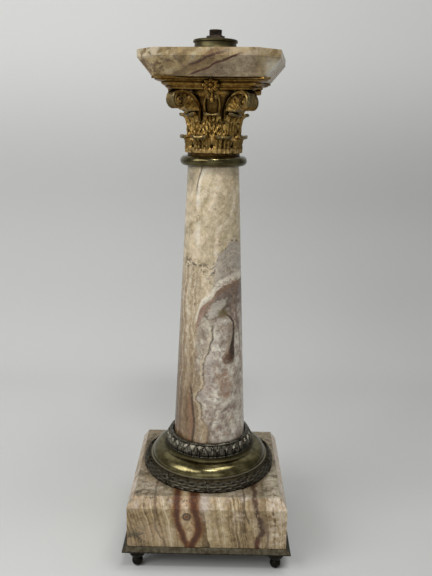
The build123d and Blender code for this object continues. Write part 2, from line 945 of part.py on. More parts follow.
with BuildPart() as collar:
    with BuildSketch(Plane.XZ):
        with BuildLine():
            Polyline(
                (tube_radius + thread_clearance, slab_top - spigot_length),
                (spigot_radius, slab_top - spigot_length),
                (spigot_radius, slab_top),
                (collar_foot_radius, slab_top),
                (collar_foot_radius, slab_top + collar_foot_height),
            )
            ThreePointArc(
                (collar_foot_radius, slab_top + collar_foot_height),
                (collar_waist_radius + 0.6, slab_top + collar_height * 0.45),
                (collar_waist_radius, rim_z - 0.6),
            )
            Polyline(
                (collar_waist_radius, rim_z - 0.6),
                (collar_rim_radius, rim_z),
                (collar_rim_radius, collar_top - 0.5),
                (collar_rim_radius - 0.5, collar_top),
                (tube_radius + thread_clearance, collar_top),
                (tube_radius + thread_clearance, slab_top - spigot_length),
            )
        make_face()
    revolve(axis=Axis.Z)
    with BuildSketch(Plane.XY.offset(slab_top)):
        Circle(collar_waist_radius - collar_wall)
        Circle(spigot_radius + collar_wall, mode=Mode.SUBTRACT)
    extrude(amount=collar_height - collar_rim_height - collar_wall / 2, mode=Mode.SUBTRACT)
write(collar.part, "collar")

# threaded tube, nuts and washer

with BuildPart() as tube:
    with BuildSketch(Plane.XY.offset(tube_bottom)):
        Circle(tube_radius)
        Circle(tube_bore_radius, mode=Mode.SUBTRACT)
    extrude(amount=tube_top - tube_bottom)
    with BuildSketch(Plane.XY.offset(lock_nut_top)):
        Circle(tube_radius)
        Circle(tube_radius - thread_relief_depth, mode=Mode.SUBTRACT)
    extrude(amount=thread_relief_height, mode=Mode.SUBTRACT)
write(tube.part, "centre_tube")

with BuildPart() as lock_nut:
    with BuildSketch(Plane.XY.offset(collar_top)):
        RegularPolygon(lock_nut_flats / 2, 6, major_radius=False)
        Circle(tube_radius + thread_clearance, mode=Mode.SUBTRACT)
    extrude(amount=lock_nut_height)
write(lock_nut.part, "lock_nut")

with BuildPart() as washer:
    with BuildSketch(Plane.XY.offset(washer_z)):
        Circle(washer_radius)
        Circle(tube_radius + thread_clearance, mode=Mode.SUBTRACT)
    extrude(amount=washer_thickness)
write(washer.part, "bottom_washer")

with BuildPart() as bottom_nut:
    with BuildSketch(Plane.XY.offset(bottom_nut_z)):
        RegularPolygon(lock_nut_flats / 2, 6, major_radius=False)
        Circle(tube_radius + thread_clearance, mode=Mode.SUBTRACT)
    extrude(amount=bottom_nut_height)
write(bottom_nut.part, "bottom_nut")
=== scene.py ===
import json
import math

import bmesh
import bpy
import numpy as np
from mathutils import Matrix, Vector


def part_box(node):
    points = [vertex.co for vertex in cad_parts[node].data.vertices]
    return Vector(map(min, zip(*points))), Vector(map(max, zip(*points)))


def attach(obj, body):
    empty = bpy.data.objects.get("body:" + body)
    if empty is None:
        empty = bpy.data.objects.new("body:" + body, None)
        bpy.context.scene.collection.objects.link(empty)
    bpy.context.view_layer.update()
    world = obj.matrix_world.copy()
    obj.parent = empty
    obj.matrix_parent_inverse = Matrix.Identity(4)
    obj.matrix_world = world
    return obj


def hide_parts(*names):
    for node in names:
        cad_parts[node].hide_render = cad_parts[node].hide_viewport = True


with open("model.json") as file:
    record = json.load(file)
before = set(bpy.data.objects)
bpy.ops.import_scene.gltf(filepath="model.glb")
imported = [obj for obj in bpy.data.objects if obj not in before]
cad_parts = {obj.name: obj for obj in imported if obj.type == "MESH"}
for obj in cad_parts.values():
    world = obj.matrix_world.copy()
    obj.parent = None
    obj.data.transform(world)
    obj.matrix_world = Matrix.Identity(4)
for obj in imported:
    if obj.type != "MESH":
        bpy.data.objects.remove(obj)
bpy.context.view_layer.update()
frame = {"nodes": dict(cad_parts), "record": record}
scene = bpy.context.scene
mm = 0.001


class Field:
    # a value that varies over a surface; arithmetic on it adds Math nodes
    def __init__(self, tree, socket):
        self.tree = tree
        self.socket = socket

    def math(self, operation, *others):
        step = self.tree.nodes.new("ShaderNodeMath")
        step.operation = operation
        for place, value in enumerate((self, *others)):
            plug(self.tree, value, step.inputs[place])
        return Field(self.tree, step.outputs[0])

    def __add__(self, other):
        return self.math("ADD", other)

    def __sub__(self, other):
        return self.math("SUBTRACT", other)

    def __mul__(self, other):
        return self.math("MULTIPLY", other)

    def size(self):
        return self.math("ABSOLUTE")

    def larger(self, other):
        return self.math("MAXIMUM", other)

    def fade(self, start, end):
        # 0 at start and 1 at end, smooth between them; start may be the larger one
        step = self.tree.nodes.new("ShaderNodeMapRange")
        step.interpolation_type = "SMOOTHSTEP"
        step.clamp = True
        plug(self.tree, self, step.inputs["Value"])
        limits = (start, end, 0.0, 1.0) if start < end else (end, start, 1.0, 0.0)
        for name, value in zip(("From Min", "From Max", "To Min", "To Max"), limits):
            step.inputs[name].default_value = value
        return Field(self.tree, step.outputs["Result"])

    def near(self, width):
        # 1 where the value is 0, falling to 0 at width either side
        return self.size().fade(width, width * 0.25)


def plug(tree, value, socket):
    if isinstance(value, Field):
        tree.links.new(value.socket, socket)
    elif isinstance(value, (tuple, list)):
        socket.default_value = (*value, 1.0) if len(value) == 3 else value
    else:
        socket.default_value = value


onyx = {
    "cream": (0.60, 0.50, 0.345),
    "white": (0.68, 0.62, 0.50),
    "beige": (0.49, 0.395, 0.265),
    "olive": (0.31, 0.25, 0.14),
    "tan": (0.31, 0.225, 0.13),
    "brown": (0.135, 0.075, 0.036),
    "dark": (0.035, 0.025, 0.014),
    "lilac": (0.40, 0.345, 0.30),
    "plum": (0.17, 0.12, 0.10),
}


def tint(shade):
    return onyx[shade] if isinstance(shade, str) else shade


class Finish:
    # one material; each colour is laid over the last, limited by the places in mm and by other fields
    def __init__(self, name):
        self.material = bpy.data.materials.new(name)
        self.material.use_nodes = True
        self.tree = self.material.node_tree
        self.shader = self.tree.nodes["Principled BSDF"]
        self.place = self.tree.nodes.new("ShaderNodeTexCoord").outputs["Object"]
        parts = self.tree.nodes.new("ShaderNodeSeparateXYZ")
        self.tree.links.new(self.place, parts.inputs[0])
        self.x, self.y, self.z = (Field(self.tree, parts.outputs[axis]) * 1000.0 for axis in "XYZ")
        self.places = {"x": self.x, "y": self.y, "z": self.z}
        self.colour = None

    def noise(self, grain, detail=3.0, roughness=0.5, distortion=0.0, shift=0.0, stretch=(1, 1, 1)):
        # 3-D noise with features about grain mm across
        mapping = self.tree.nodes.new("ShaderNodeMapping")
        mapping.inputs["Scale"].default_value = stretch
        mapping.inputs["Location"].default_value = (shift, shift * 0.7, shift * 1.3)
        self.tree.links.new(self.place, mapping.inputs["Vector"])
        cloud = self.tree.nodes.new("ShaderNodeTexNoise")
        settings = {"Scale": 1000.0 / grain, "Detail": detail, "Roughness": roughness, "Distortion": distortion}
        for name, value in settings.items():
            cloud.inputs[name].default_value = value
        self.tree.links.new(mapping.outputs[0], cloud.inputs["Vector"])
        return Field(self.tree, cloud.outputs[0])

    def layers(self, along, thickness, detail=3.0, roughness=0.5):
        # 1-D noise: layers about thickness mm thick, stacked along a coordinate in mm
        cloud = self.tree.nodes.new("ShaderNodeTexNoise")
        cloud.noise_dimensions = "1D"
        for name, value in {"Scale": 1.0 / thickness, "Detail": detail, "Roughness": roughness}.items():
            cloud.inputs[name].default_value = value
        plug(self.tree, along, cloud.inputs["W"])
        return Field(self.tree, cloud.outputs[0])

    def path(self, along, points):
        # a smooth line through a few (along, across) points, in the units of both
        low, high = min(p[0] for p in points), max(p[0] for p in points)
        left, right = min(p[1] for p in points) - 1.0, max(p[1] for p in points) + 1.0
        step = self.tree.nodes.new("ShaderNodeFloatCurve")
        curve = step.mapping.curves[0]
        ordered = [((a - low) / (high - low), (b - left) / (right - left)) for a, b in sorted(points)]
        curve.points[0].location = ordered[0]
        curve.points[1].location = ordered[-1]
        for spot in ordered[1:-1]:
            curve.points.new(*spot)
        step.mapping.update()
        plug(self.tree, (along - low) * (1.0 / (high - low)), step.inputs["Value"])
        return Field(self.tree, step.outputs[0]) * (right - left) + left

    def ramp(self, value, *stops):
        # colours against a value; each stop is its position and a colour or the name of one
        step = self.tree.nodes.new("ShaderNodeValToRGB")
        bar = step.color_ramp
        while len(bar.elements) < len(stops):
            bar.elements.new(0.5)
        for element, (position, shade) in zip(bar.elements, stops):
            element.position = position
            element.color = (*tint(shade), 1.0)
        plug(self.tree, value, step.inputs[0])
        return Field(self.tree, step.outputs[0])

    def mix(self, share, first, second, blend="MIX"):
        step = self.tree.nodes.new("ShaderNodeMix")
        step.data_type = "RGBA"
        step.blend_type = blend
        step.clamp_factor = True
        # the sockets of a colour mix are the share and these two
        for value, socket in ((share, 0), (first, 6), (second, 7)):
            plug(self.tree, value, step.inputs[socket])
        return Field(self.tree, step.outputs[2])

    def where(self, mask=None, **limits):
        # each limit names a place, and each two of its numbers are where that starts to count and counts in full
        for name, numbers in limits.items():
            for start, end in zip(numbers[::2], numbers[1::2]):
                step = self.places[name].fade(start, end)
                mask = mask * step if mask else step
        return mask

    def lay(self, shade, share=1.0, mask=None, blend="MIX", **limits):
        # a colour over what is there, inside the mask and the limits
        mask = self.where(mask, **limits)
        self.colour = self.mix(mask * share if mask else share, self.colour, tint(shade), blend)
        return mask

    def radius(self):
        # mm from the column's axis
        self.places["radius"] = (self.x * self.x + self.y * self.y).math("SQRT")

    def crevice(self, reach, inside=False):
        # small in hollows, or with inside on thin edges
        step = self.tree.nodes.new("ShaderNodeAmbientOcclusion")
        step.inputs["Distance"].default_value = reach * mm
        step.samples = 8
        step.inside = inside
        return Field(self.tree, step.outputs["AO"])

    def relief(self, height, depth):
        # bump, with height in mm
        step = self.tree.nodes.new("ShaderNodeBump")
        step.inputs["Strength"].default_value = depth
        step.inputs["Distance"].default_value = mm
        plug(self.tree, height, step.inputs["Height"])
        self.tree.links.new(step.outputs[0], self.shader.inputs["Normal"])

    def made(self, **sockets):
        # the material, with its colour and these sockets of its shader filled in
        for name, value in {"Base_Color": self.colour, **sockets}.items():
            plug(self.tree, value, self.shader.inputs[name.replace("_", " ")])
        return self.material


stoneNoise = {
    # grain mm, detail, roughness, distortion and shift, and for the first three of each stone how far they reach
    "columnOnyx": {
        "slow": (60, 3, 0.5, 0.3, 0, 1), "wobble": (13, 4, 0.65, 0.4, 0, 9), "ragged": (3.6, 4, 0.7, 0.3, 0, 6),
        "cloud": (17, 6, 0.62, 0.9, 3), "curd": (5.5, 5, 0.68, 1.2, 6),
        "hair": (30, 6, 0.65, 0.8, 9), "hairGaps": (26, 2, 0.5, 0, 12),
    },
    "plinthOnyx": {
        "slow": (55, 3, 0.5, 0.2, 1, 1), "wobble": (12, 4, 0.6, 0.2, 2, 4), "ragged": (3.2, 4, 0.7, 0, 4, 2.4),
        "cloud": (18, 5, 0.6, 0.5, 3), "curd": (4.5, 5, 0.7, 0.6, 6),
        "hair": (30, 6, 0.65, 0.9, 9), "hairGaps": (26, 2, 0.5, 0, 12),
    },
    "slabOnyx": {
        "slow": (50, 3, 0.5, 0.3, 1.5, 1), "wobble": (11, 4, 0.6, 0.2, 2.5, 5), "ragged": (3.2, 4, 0.7, 0, 4.5, 3),
        "cloud": (15, 5, 0.62, 0.9, 3.5), "curd": (5, 5, 0.7, 0.8, 6.5),
        "hair": (28, 6, 0.65, 0.9, 9.5), "hairGaps": (24, 2, 0.5, 0, 12.5),
    },
}


class Stone(Finish):
    # an onyx, with the noises that its veins and clouds share
    def __init__(self, name, across, run):
        # its veins are measured across one place, as they run along the other
        super().__init__(name)
        self.values = stoneNoise[name]
        uneven = (self.values["slow"], self.values["wobble"], self.values["ragged"])
        self.slow, self.wobble, self.ragged = ((self.noise(*kind) - 0.5) * reach for *kind, reach in uneven)
        self.cloud, self.curd = self.noise(*self.values["cloud"]), self.noise(*self.values["curd"])
        self.places.update(cloud=self.cloud, curd=self.curd)
        self.across, self.run = across, run

    def off(self, line=None, of=None, run=None, at=0.0, wobble=0.0, ragged=0.0):
        # how far a spot lies from a line, or from where a place has the value at, made uneven
        place = self.places[of or self.across] - at
        if line:
            place = place - self.path(self.places[run or self.run], line)
        for share, uneven in ((wobble, self.wobble), (ragged, self.ragged)):
            place = place + uneven * share if share else place
        return place

    def vein(self, shade, share, width, line=None, of=None, at=0.0, wobble=0.0, ragged=0.0, mask=None, **limits):
        near = self.off(line, of, None, at, wobble, ragged).near(width)
        return self.lay(shade, share, near * mask if mask else near, **limits)

    def oval(self, centre, half, slope=0.0, wobble=0.0, ragged=0.0):
        # 0 in the middle of an oval and 1 on its uneven edge; half gives its half width and half height
        across = self.places[self.across] - centre[0]
        up = self.z - centre[1] - across * slope
        wide, tall = (side * (1.0 / reach) for side, reach in zip((across, up), half))
        return wide * wide + tall * tall + self.wobble * wobble + self.ragged * ragged

    def hair(self, shade, share, gaps):
        # broken hairline cracks
        line = (self.noise(*self.values["hair"]) - 0.5).size().fade(0.014, 0.002)
        self.lay(shade, share, line * self.noise(*self.values["hairGaps"]).fade(*gaps))

    def cut(self, tone, grain, shift, gloss, relief):
        # fine crystals and cloudiness, the tone of the whole stone, its polish and its pits
        fine, middle = self.noise(1.3, 3, 0.7, 0, shift), self.noise(4.5, 4, 0.7, 0.4, shift + 3)
        self.lay((fine - 0.5) * (grain * 1.4) + (middle - 0.5) * (grain * 2) + 1, blend="MULTIPLY")
        self.lay(tone, blend="MULTIPLY")
        self.relief(relief, 0.5)
        return self.made(Roughness=gloss, Subsurface_Weight=0.06, Subsurface_Scale=0.003)


columnLines = {
    # the ledge and the crack above it run round the column: (degrees from the front, mm up)
    "ledge": [(-180, 236), (-95, 214), (-40, 202), (-27, 208), (-21, 217), (-13, 223), (0, 228), (14, 236), (32, 240),
              (54, 242), (75, 243), (120, 258), (180, 236)],
    "crack": [(-180, 262), (-100, 251), (-61, 256), (-37, 253), (-10, 252), (-1, 250), (8, 257), (15, 263),
              (29, 267), (41, 273), (80, 268), (180, 262)],
    # the others run up it: (mm up, degrees from the front)
    "seam": [(89, 0), (104, 2), (122, -12), (134, -14), (139, -21), (146, -15), (153, -10), (168, -11), (179, -3),
             (192, 3), (205, 5), (340, 5)],
    "hook": [(165, 38), (174, 40), (181, 41), (190, 44), (201, 46), (207, 41), (212, 29), (216, 22), (219, 20)],
    "trail": [(160, 69), (186, 65), (194, 62), (214, 53), (228, 56)],
    "streak": [(85, -27), (99, -27), (115, -25), (129, -28), (140, -31), (149, -33), (152, -33)],
    "plum": [(85, 5), (92, 6), (104, 0), (114, 1), (123, 6), (128, 6)],
    "white": [(240, -30), (271, -30), (301, -30), (314, -32), (329, -17), (340, -10)],
    "top": [(300, -35), (312, -36), (319, -34), (329, -26), (334, -24)],
}


def columnOnyx():
    stone, lines = Stone("columnOnyx", "angle", "z"), columnLines
    z, slow, wobble, ragged, cloud, curd = stone.z, stone.slow, stone.wobble, stone.ragged, stone.cloud, stone.curd
    places, ramp, layers, lay, vein = stone.places, stone.ramp, stone.layers, stone.lay, stone.vein
    # degrees round from the front, mm above the white ledge and the crack, degrees right of the wavy seam
    angle = places["angle"] = stone.x.math("ARCTAN2", stone.y * -1.0) * math.degrees(1.0)
    drop = places["drop"] = stone.off(lines["ledge"], "z", "angle", wobble=0.5, ragged=0.85)
    crack = places["crack"] = stone.off(lines["crack"], "z", "angle", ragged=0.5)
    beside = places["beside"] = stone.off(lines["seam"], wobble=1, ragged=2)
    places["hook"] = stone.off(lines["hook"])

    # above: mottled cream; below on the left: ragged upright stripes; below on the right: pale and lilac clouds
    lean = stone.x * 0.9 + stone.y * 0.35 - z * 0.34 + slow * 40 + wobble
    stone.colour = ramp(
        curd * 0.4 + cloud * 0.3 + layers(lean, 5, 4, 0.6) * 0.3,
        (0.37, "olive"), (0.45, (0.42, 0.345, 0.215)), (0.51, (0.54, 0.445, 0.30)), (0.56, "cream"), (0.64, "white"),
    )
    lay("olive", 0.35, (lean - z * 0.2).math("PINGPONG", 2.6).fade(0.5, 0), cloud=(0.5, 0.6))
    upright = angle * 0.47 + slow * 22 + wobble * 0.95 + ragged * 0.6
    striped = ramp(
        layers(upright, 6, 3, 0.55) * 0.36 + layers(upright, 1.5, 3, 0.7) * 0.22 + curd * 0.24 + cloud * 0.18,
        (0.39, "brown"), (0.45, "tan"), (0.50, (0.40, 0.315, 0.205)), (0.55, (0.52, 0.435, 0.31)), (0.61, "white"),
    )
    striped = stone.mix(stone.where(z=(225, 120), angle=(0, -40)), striped, (0.48, 0.38, 0.285), "MULTIPLY")
    clouded = ramp(
        cloud * 0.6 + curd * 0.4,
        (0.37, "plum"), (0.43, (0.28, 0.225, 0.175)), (0.48, (0.40, 0.34, 0.275)), (0.53, (0.50, 0.45, 0.365)),
        (0.59, (0.66, 0.61, 0.51)),
    )
    lowDown = drop.fade(3, -3)
    # at the left the upright stripes start at the crack
    leftLow = (angle + ragged * 1.5 + (z - 240) * 0.35).fade(-14, -26) * (crack + wobble).fade(0, -12)
    lay(striped, 1, lowDown.larger(leftLow))
    lay(clouded, 1, lowDown, beside=(-3, 6), angle=(150, 110))

    # a paler, greyer strip between the stripes and the seam
    strip = ramp(
        curd * 0.6 + cloud * 0.4, (0.40, (0.17, 0.13, 0.10)), (0.5, (0.34, 0.295, 0.235)), (0.58, (0.52, 0.47, 0.39))
    )
    lay(strip, 0.75, angle=(-30, -20), beside=(6, -2), drop=(-6, -12), z=(150, 172))
    # grey waves between the crack and the ledge
    waves = ramp(
        layers(crack + wobble * 0.4, 2.6, 3, 0.65) * 0.6 + curd * 0.4,
        (0.38, (0.20, 0.165, 0.135)), (0.47, (0.33, 0.285, 0.235)), (0.55, (0.43, 0.38, 0.31)), (0.63, "beige"),
    )
    lay(waves, 0.9, (crack + wobble * 0.3).fade(0.6, -2), drop=(-1, 3), angle=(-4, 14, 100, 70))
    # the pale double ledge and the dark hollow that hangs under it
    hollow = ramp(
        curd * 0.5 + layers(drop + wobble * 0.5, 5, 3, 0.6) * 0.5,
        (0.36, (0.055, 0.04, 0.03)), (0.46, (0.12, 0.085, 0.062)), (0.54, (0.19, 0.145, 0.115)),
        (0.64, (0.32, 0.27, 0.225)),
    )
    lay(hollow, 0.95, drop=(-1.5, -4, -34, -20), angle=(-4, 12, 120, 80))
    vein((0.21, 0.125, 0.07), 0.9, 4.4, of="drop", at=-4.6, angle=(-30, -20, 100, 60), curd=(0.36, 0.5))
    vein((0.27, 0.17, 0.125), 0.8, 7, of="drop", at=-8, angle=(-30, -22, 6, -4))
    vein("white", 0.9, 4.6, of="drop", at=0.6, angle=(-34, -22, 170, 120))
    vein("plum", 0.75, 0.7, of="drop", at=-0.6, angle=(-30, -14, 80, 60), curd=(0.42, 0.55))
    spot = stone.oval((11, 217.5), (19, 6.4), 0.24, 0.3, 0.55)
    lay((0.41, 0.375, 0.305), 0.75, spot.fade(1.4, 0.3))
    lay((0.09, 0.065, 0.03), 0.75, (spot - 1.15).near(0.45), curd=(0.42, 0.5))

    # the crack, dark and broken, and the seam with its paler sides
    gaps = stone.noise(7, 3, 0.6, 0, 5).fade(0.43, 0.56)
    crackLine = vein("dark", 0.85, 0.8, of="crack", mask=gaps, angle=(-120, -80, 120, 80), curd=(0.40, 0.52))
    smudge = stone.noise(4, 4, 0.75, 0.5, 15).fade(0.50, 0.58)
    vein((0.06, 0.042, 0.022), 0.8, 8, of="crack", at=-2, mask=smudge, angle=(20, 5, -70, -55))
    seam = stone.where((beside * (cloud.fade(0.6, 0.42) * 1.6 + 0.7)).near(2), z=(206, 200, 112, 122))
    lay((0.075, 0.055, 0.035), 0.9, seam, curd=(0.4, 0.5))
    vein("cream", 0.5, 3, of="beside", at=-4, z=(206, 196, 112, 122))
    vein("lilac", 0.6, 10, of="beside", at=9, z=(185, 175, 130, 145))

    # the dark hook at the right, wider towards its foot, and the spots at its two ends
    vein((0.24, 0.175, 0.11), 0.6, 12, of="hook", at=-4, ragged=1.5, z=(212, 200, 164, 176))
    hook = (stone.off(of="hook", ragged=0.9).size() - (z.fade(196, 176) * 4.6 + 2.2)).fade(2, -2)
    lay((0.028, 0.011, 0.003), 1, hook, z=(219, 212, 166, 174), curd=(0.24, 0.38))
    lay((0.10, 0.04, 0.016), 0.9, stone.oval((31, 173.5), (11, 5.5), ragged=0.45).fade(1.3, 0.3), curd=(0.36, 0.5))
    lay((0.13, 0.095, 0.03), 0.75, stone.oval((23, 213), (11, 4), ragged=0.2).fade(1.2, 0.3))

    # the lesser veins of the lower half
    vein("plum", 0.8, 3, lines["trail"], ragged=0.8, z=(232, 220, 165, 176))
    vein((0.26, 0.13, 0.07), 0.6, 6.5, lines["streak"], at=-5, ragged=0.6, z=(150, 128))
    vein((0.07, 0.036, 0.016), 0.95, 3.4, lines["streak"], ragged=0.6, z=(151, 146), curd=(0.36, 0.46))
    vein((0.13, 0.09, 0.065), 0.75, 4.5, lines["plum"], ragged=0.9, z=(126, 116))
    rust = stone.oval((29, 151), (14, 13), wobble=0.2, ragged=0.5).fade(1.4, 0.2)
    lay((0.28, 0.15, 0.085), 0.85, rust, curd=(0.42, 0.52))
    warmFlecks = stone.noise(9, 4, 0.68, 0.8, 31).fade(0.54, 0.62)
    lay((0.27, 0.165, 0.10), 0.6, warmFlecks * lowDown, beside=(2, 12))
    darkFlecks = stone.noise(3.4, 4, 0.7, 0.7, 33).fade(0.57, 0.64)
    lay((0.15, 0.105, 0.075), 0.6, darkFlecks * lowDown, beside=(-2, 6))

    # and of the upper half
    vein("white", 0.8, 8, lines["white"], ragged=0.8, mask=stone.noise(20).fade(0.38, 0.52), z=(262, 280))
    lay((0.22, 0.19, 0.135), 0.75, angle=(-28, -52), z=(306, 322), curd=(0.35, 0.55))
    vein((0.09, 0.07, 0.045), 0.8, 3, lines["top"], ragged=1.2, z=(308, 316))
    stone.hair("brown", 0.55, (0.5, 0.6))
    pits = stone.noise(2.6, 3, 0.6, 0.5, 2).fade(0.62, 0.72) * stone.noise(20, 2, shift=7).fade(0.48, 0.6)
    lay((0.16, 0.125, 0.06), 0.7, pits)
    # painted shade: darker round to the left edge low down
    lay((0.5, 0.44, 0.36), 0.6, blend="MULTIPLY", angle=(-48, -78), z=(262, 200))
    tone = stone.mix(z.fade(330, 290), (0.97, 0.965, 0.96), (0.9, 0.9, 0.91))
    tone = stone.mix(stone.where(z=(190, 130), angle=(-8, -20)), tone, (0.78, 0.79, 0.8))
    gloss = stone.noise(8).fade(0.2, 0.8) * 0.14 + 0.24
    return stone.cut(tone, 0.5, 21, gloss, cloud * 0.3 - pits * 0.5 - seam * 0.4 - crackLine * 0.4)


plinthLines = {
    # (mm up, mm right of the middle) on the front
    "forkLeft": [(15, -15), (23, -15.5), (29, -18.4), (40, -22.3), (50, -25), (57, -25.4), (68, -24.6)],
    "forkRight": [(15, -13), (23, -12.2), (29, -9.8), (37, -7.1), (48, -8.1), (57, -10.3), (68, -11)],
    "lilac": [(15, -3), (40, 0), (57, -3), (68, -3)],
    "streak": [(15, 41.5), (24, 41.7), (31, 42.5), (38, 45.5), (47, 43.8), (56, 41.6), (68, 39)],
    "second": [(15, 49), (24, 49.3), (31, 51), (42, 48.7), (58, 46)],
    "thin": [(40, 35.5), (47, 34.4), (52, 32.4), (58, 30.8), (68, 30)],
    "thinLeft": [(18, -33), (28, -35.6), (33, -39.4), (42, -42.2), (54, -43.1), (68, -43)],
}


def plinthOnyx():
    stone, lines = Stone("plinthOnyx", "x", "z"), plinthLines
    x, y, z, wobble, ragged, cloud, curd = (
        stone.x, stone.y, stone.z, stone.wobble, stone.ragged, stone.cloud, stone.curd
    )
    ramp, layers, lay = stone.ramp, stone.layers, stone.lay
    front = {"y": (10, -40)}
    across = x + (z - 40) * 0.16 + stone.slow * 16 + wobble * 0.7 + ragged * 0.3
    stone.colour = ramp(
        layers(across, 9, 3, 0.5) * 0.34 + layers(across, 1.7, 3, 0.7) * 0.24 + curd * 0.2 + cloud * 0.22,
        (0.41, (0.07, 0.044, 0.018)), (0.455, (0.175, 0.12, 0.055)), (0.495, (0.275, 0.208, 0.11)),
        (0.535, (0.37, 0.295, 0.175)), (0.585, (0.50, 0.435, 0.32)),
    )
    # flat on its top the layers show as freckled clouds
    onTop = z.fade(65.6, 66.5)
    mottled = ramp(
        cloud * 0.3 + curd * 0.45 + layers(across, 6, 3, 0.6) * 0.25,
        (0.41, (0.05, 0.037, 0.02)), (0.455, (0.125, 0.095, 0.056)), (0.50, (0.195, 0.155, 0.10)),
        (0.55, (0.265, 0.215, 0.15)), (0.61, (0.36, 0.315, 0.245)),
    )
    lay(mottled, 0.85, onTop)
    # broad pale and pinkish patches in the stone, with more of them on the bevel as painted light where it faces up to
    # the lamps
    pale = stone.noise(26, 4, 0.6, 0.4, 41).fade(0.48, 0.58) * (stone.where(z=(44, 58, 68, 65.5)) * 0.6 + 0.25)
    pale = pale.larger(stone.where((x + wobble).fade(46, 54) * 0.6, curd=(0.40, 0.52), z=(16, 34)))
    lay(ramp(curd, (0.36, (0.30, 0.235, 0.17)), (0.5, (0.46, 0.39, 0.31)), (0.64, (0.60, 0.55, 0.47))), 1, pale)
    lay((0.34, 0.25, 0.165), 0.45, x=(-26, -42), cloud=(0.42, 0.56))

    def stripe(shade, share, width, line, rough=1.0, **limits):
        wavy = {"wobble": rough, "ragged": rough * 0.6}
        return stone.vein(shade, share, width, lines[line], **wavy, **front, **limits)

    # the forked red-brown vein, pale between its arms, with a ring in the fork
    between = stone.off(lines["forkLeft"]).fade(-0.5, 2) * stone.off(lines["forkRight"]).fade(0.5, -2)
    inFork = ramp(curd, (0.35, (0.25, 0.17, 0.09)), (0.5, (0.43, 0.325, 0.20)), (0.65, (0.52, 0.43, 0.31)))
    lay(inFork, 0.8, between, **front)
    stripe((0.40, 0.35, 0.29), 0.85, 6.5, "lilac", z=(50, 58))
    for line, width in (("forkLeft", 3.7), ("forkRight", 4.4)):
        stripe((0.185, 0.075, 0.014), 0.85, width * 1.55, line, 1.3)
        stripe((0.058, 0.013, 0.001), 0.92, width, line, 1.5, curd=(0.28, 0.42))
    aside, up = x + 16.7 + ragged * 0.5, z - 50.7 + wobble * 0.3
    ring = aside * aside + up * up
    lay((0.045, 0.022, 0.008), 0.9, (ring.math("SQRT") - 2.7 + ragged * 0.7).near(1.5), **front)
    lay((0.10, 0.035, 0.010), 0.9, (ring + ragged * 3).fade(4, 1), **front)

    # the dark streak at the right, the thin veins and the dark corner at the left
    stripe((0.20, 0.145, 0.09), 0.55, 8, "streak", 2)
    stripe((0.055, 0.026, 0.011), 0.95, 3.6, "streak", 2.2, curd=(0.34, 0.46))
    stripe((0.075, 0.020, 0.005), 0.8, 3.6, "streak", 2.2, z=(36, 26))
    stripe((0.11, 0.075, 0.04), 0.6, 2, "second", 2, z=(50, 42))
    thin = stripe((0.09, 0.06, 0.032), 0.85, 1.3, "thin", z=(42, 47))
    stripe((0.12, 0.085, 0.05), 0.7, 1.3, "thinLeft")
    lay((0.035, 0.03, 0.018), 0.9, curd=(0.47, 0.57), x=(-44, -56), z=(46, 30), **front)
    stone.hair("brown", 0.5, (0.48, 0.6))
    lay((0.12, 0.055, 0.02), 0.8, (x * 0.8 - 22 + stone.slow * 40 + wobble + ragged).near(4), y=(0, 40))
    freckles = stone.noise(2.4, 3, 0.65, 0.4, 2.5).fade(0.57, 0.68)
    pits = freckles * (stone.where(z=(58, 63), x=(40, -30)) + stone.noise(18, 2).fade(0.5, 0.6) * 0.6)
    lay((0.06, 0.048, 0.03), 0.75, pits)
    # the bevel is painted paler than the sides, painted light where it faces up to the lamps, and the top darker
    # towards the back
    lay((1.16, 1.19, 1.32), blend="MULTIPLY", z=(56.6, 57.4, 66.4, 66))
    top = stone.mix(y.fade(-35, 5), (0.78, 0.78, 0.72), (0.62, 0.59, 0.50))
    tone = stone.mix(onTop, (0.90, 0.85, 0.77), top)
    gloss = stone.noise(7).fade(0.2, 0.8) * 0.16 + 0.26 + onTop * 0.2
    return stone.cut(tone, 0.55, 23, gloss, cloud * 0.2 - pits * 0.5 - thin * 0.3)


slabLines = {
    # the lower and the upper vein: (mm right of the middle, mm up) on the front
    "lower": [(-70, 385), (-30, 392), (-12, 399.6), (-6, 401.8), (2, 404), (6, 406.6), (14, 409), (25, 413), (60, 424)],
    "upper": [(-70, 380), (-30, 396), (-12, 406), (-7, 407.6), (5, 411.9), (18, 415.9), (60, 432)],
}
slabTurn = math.radians(-7.5)


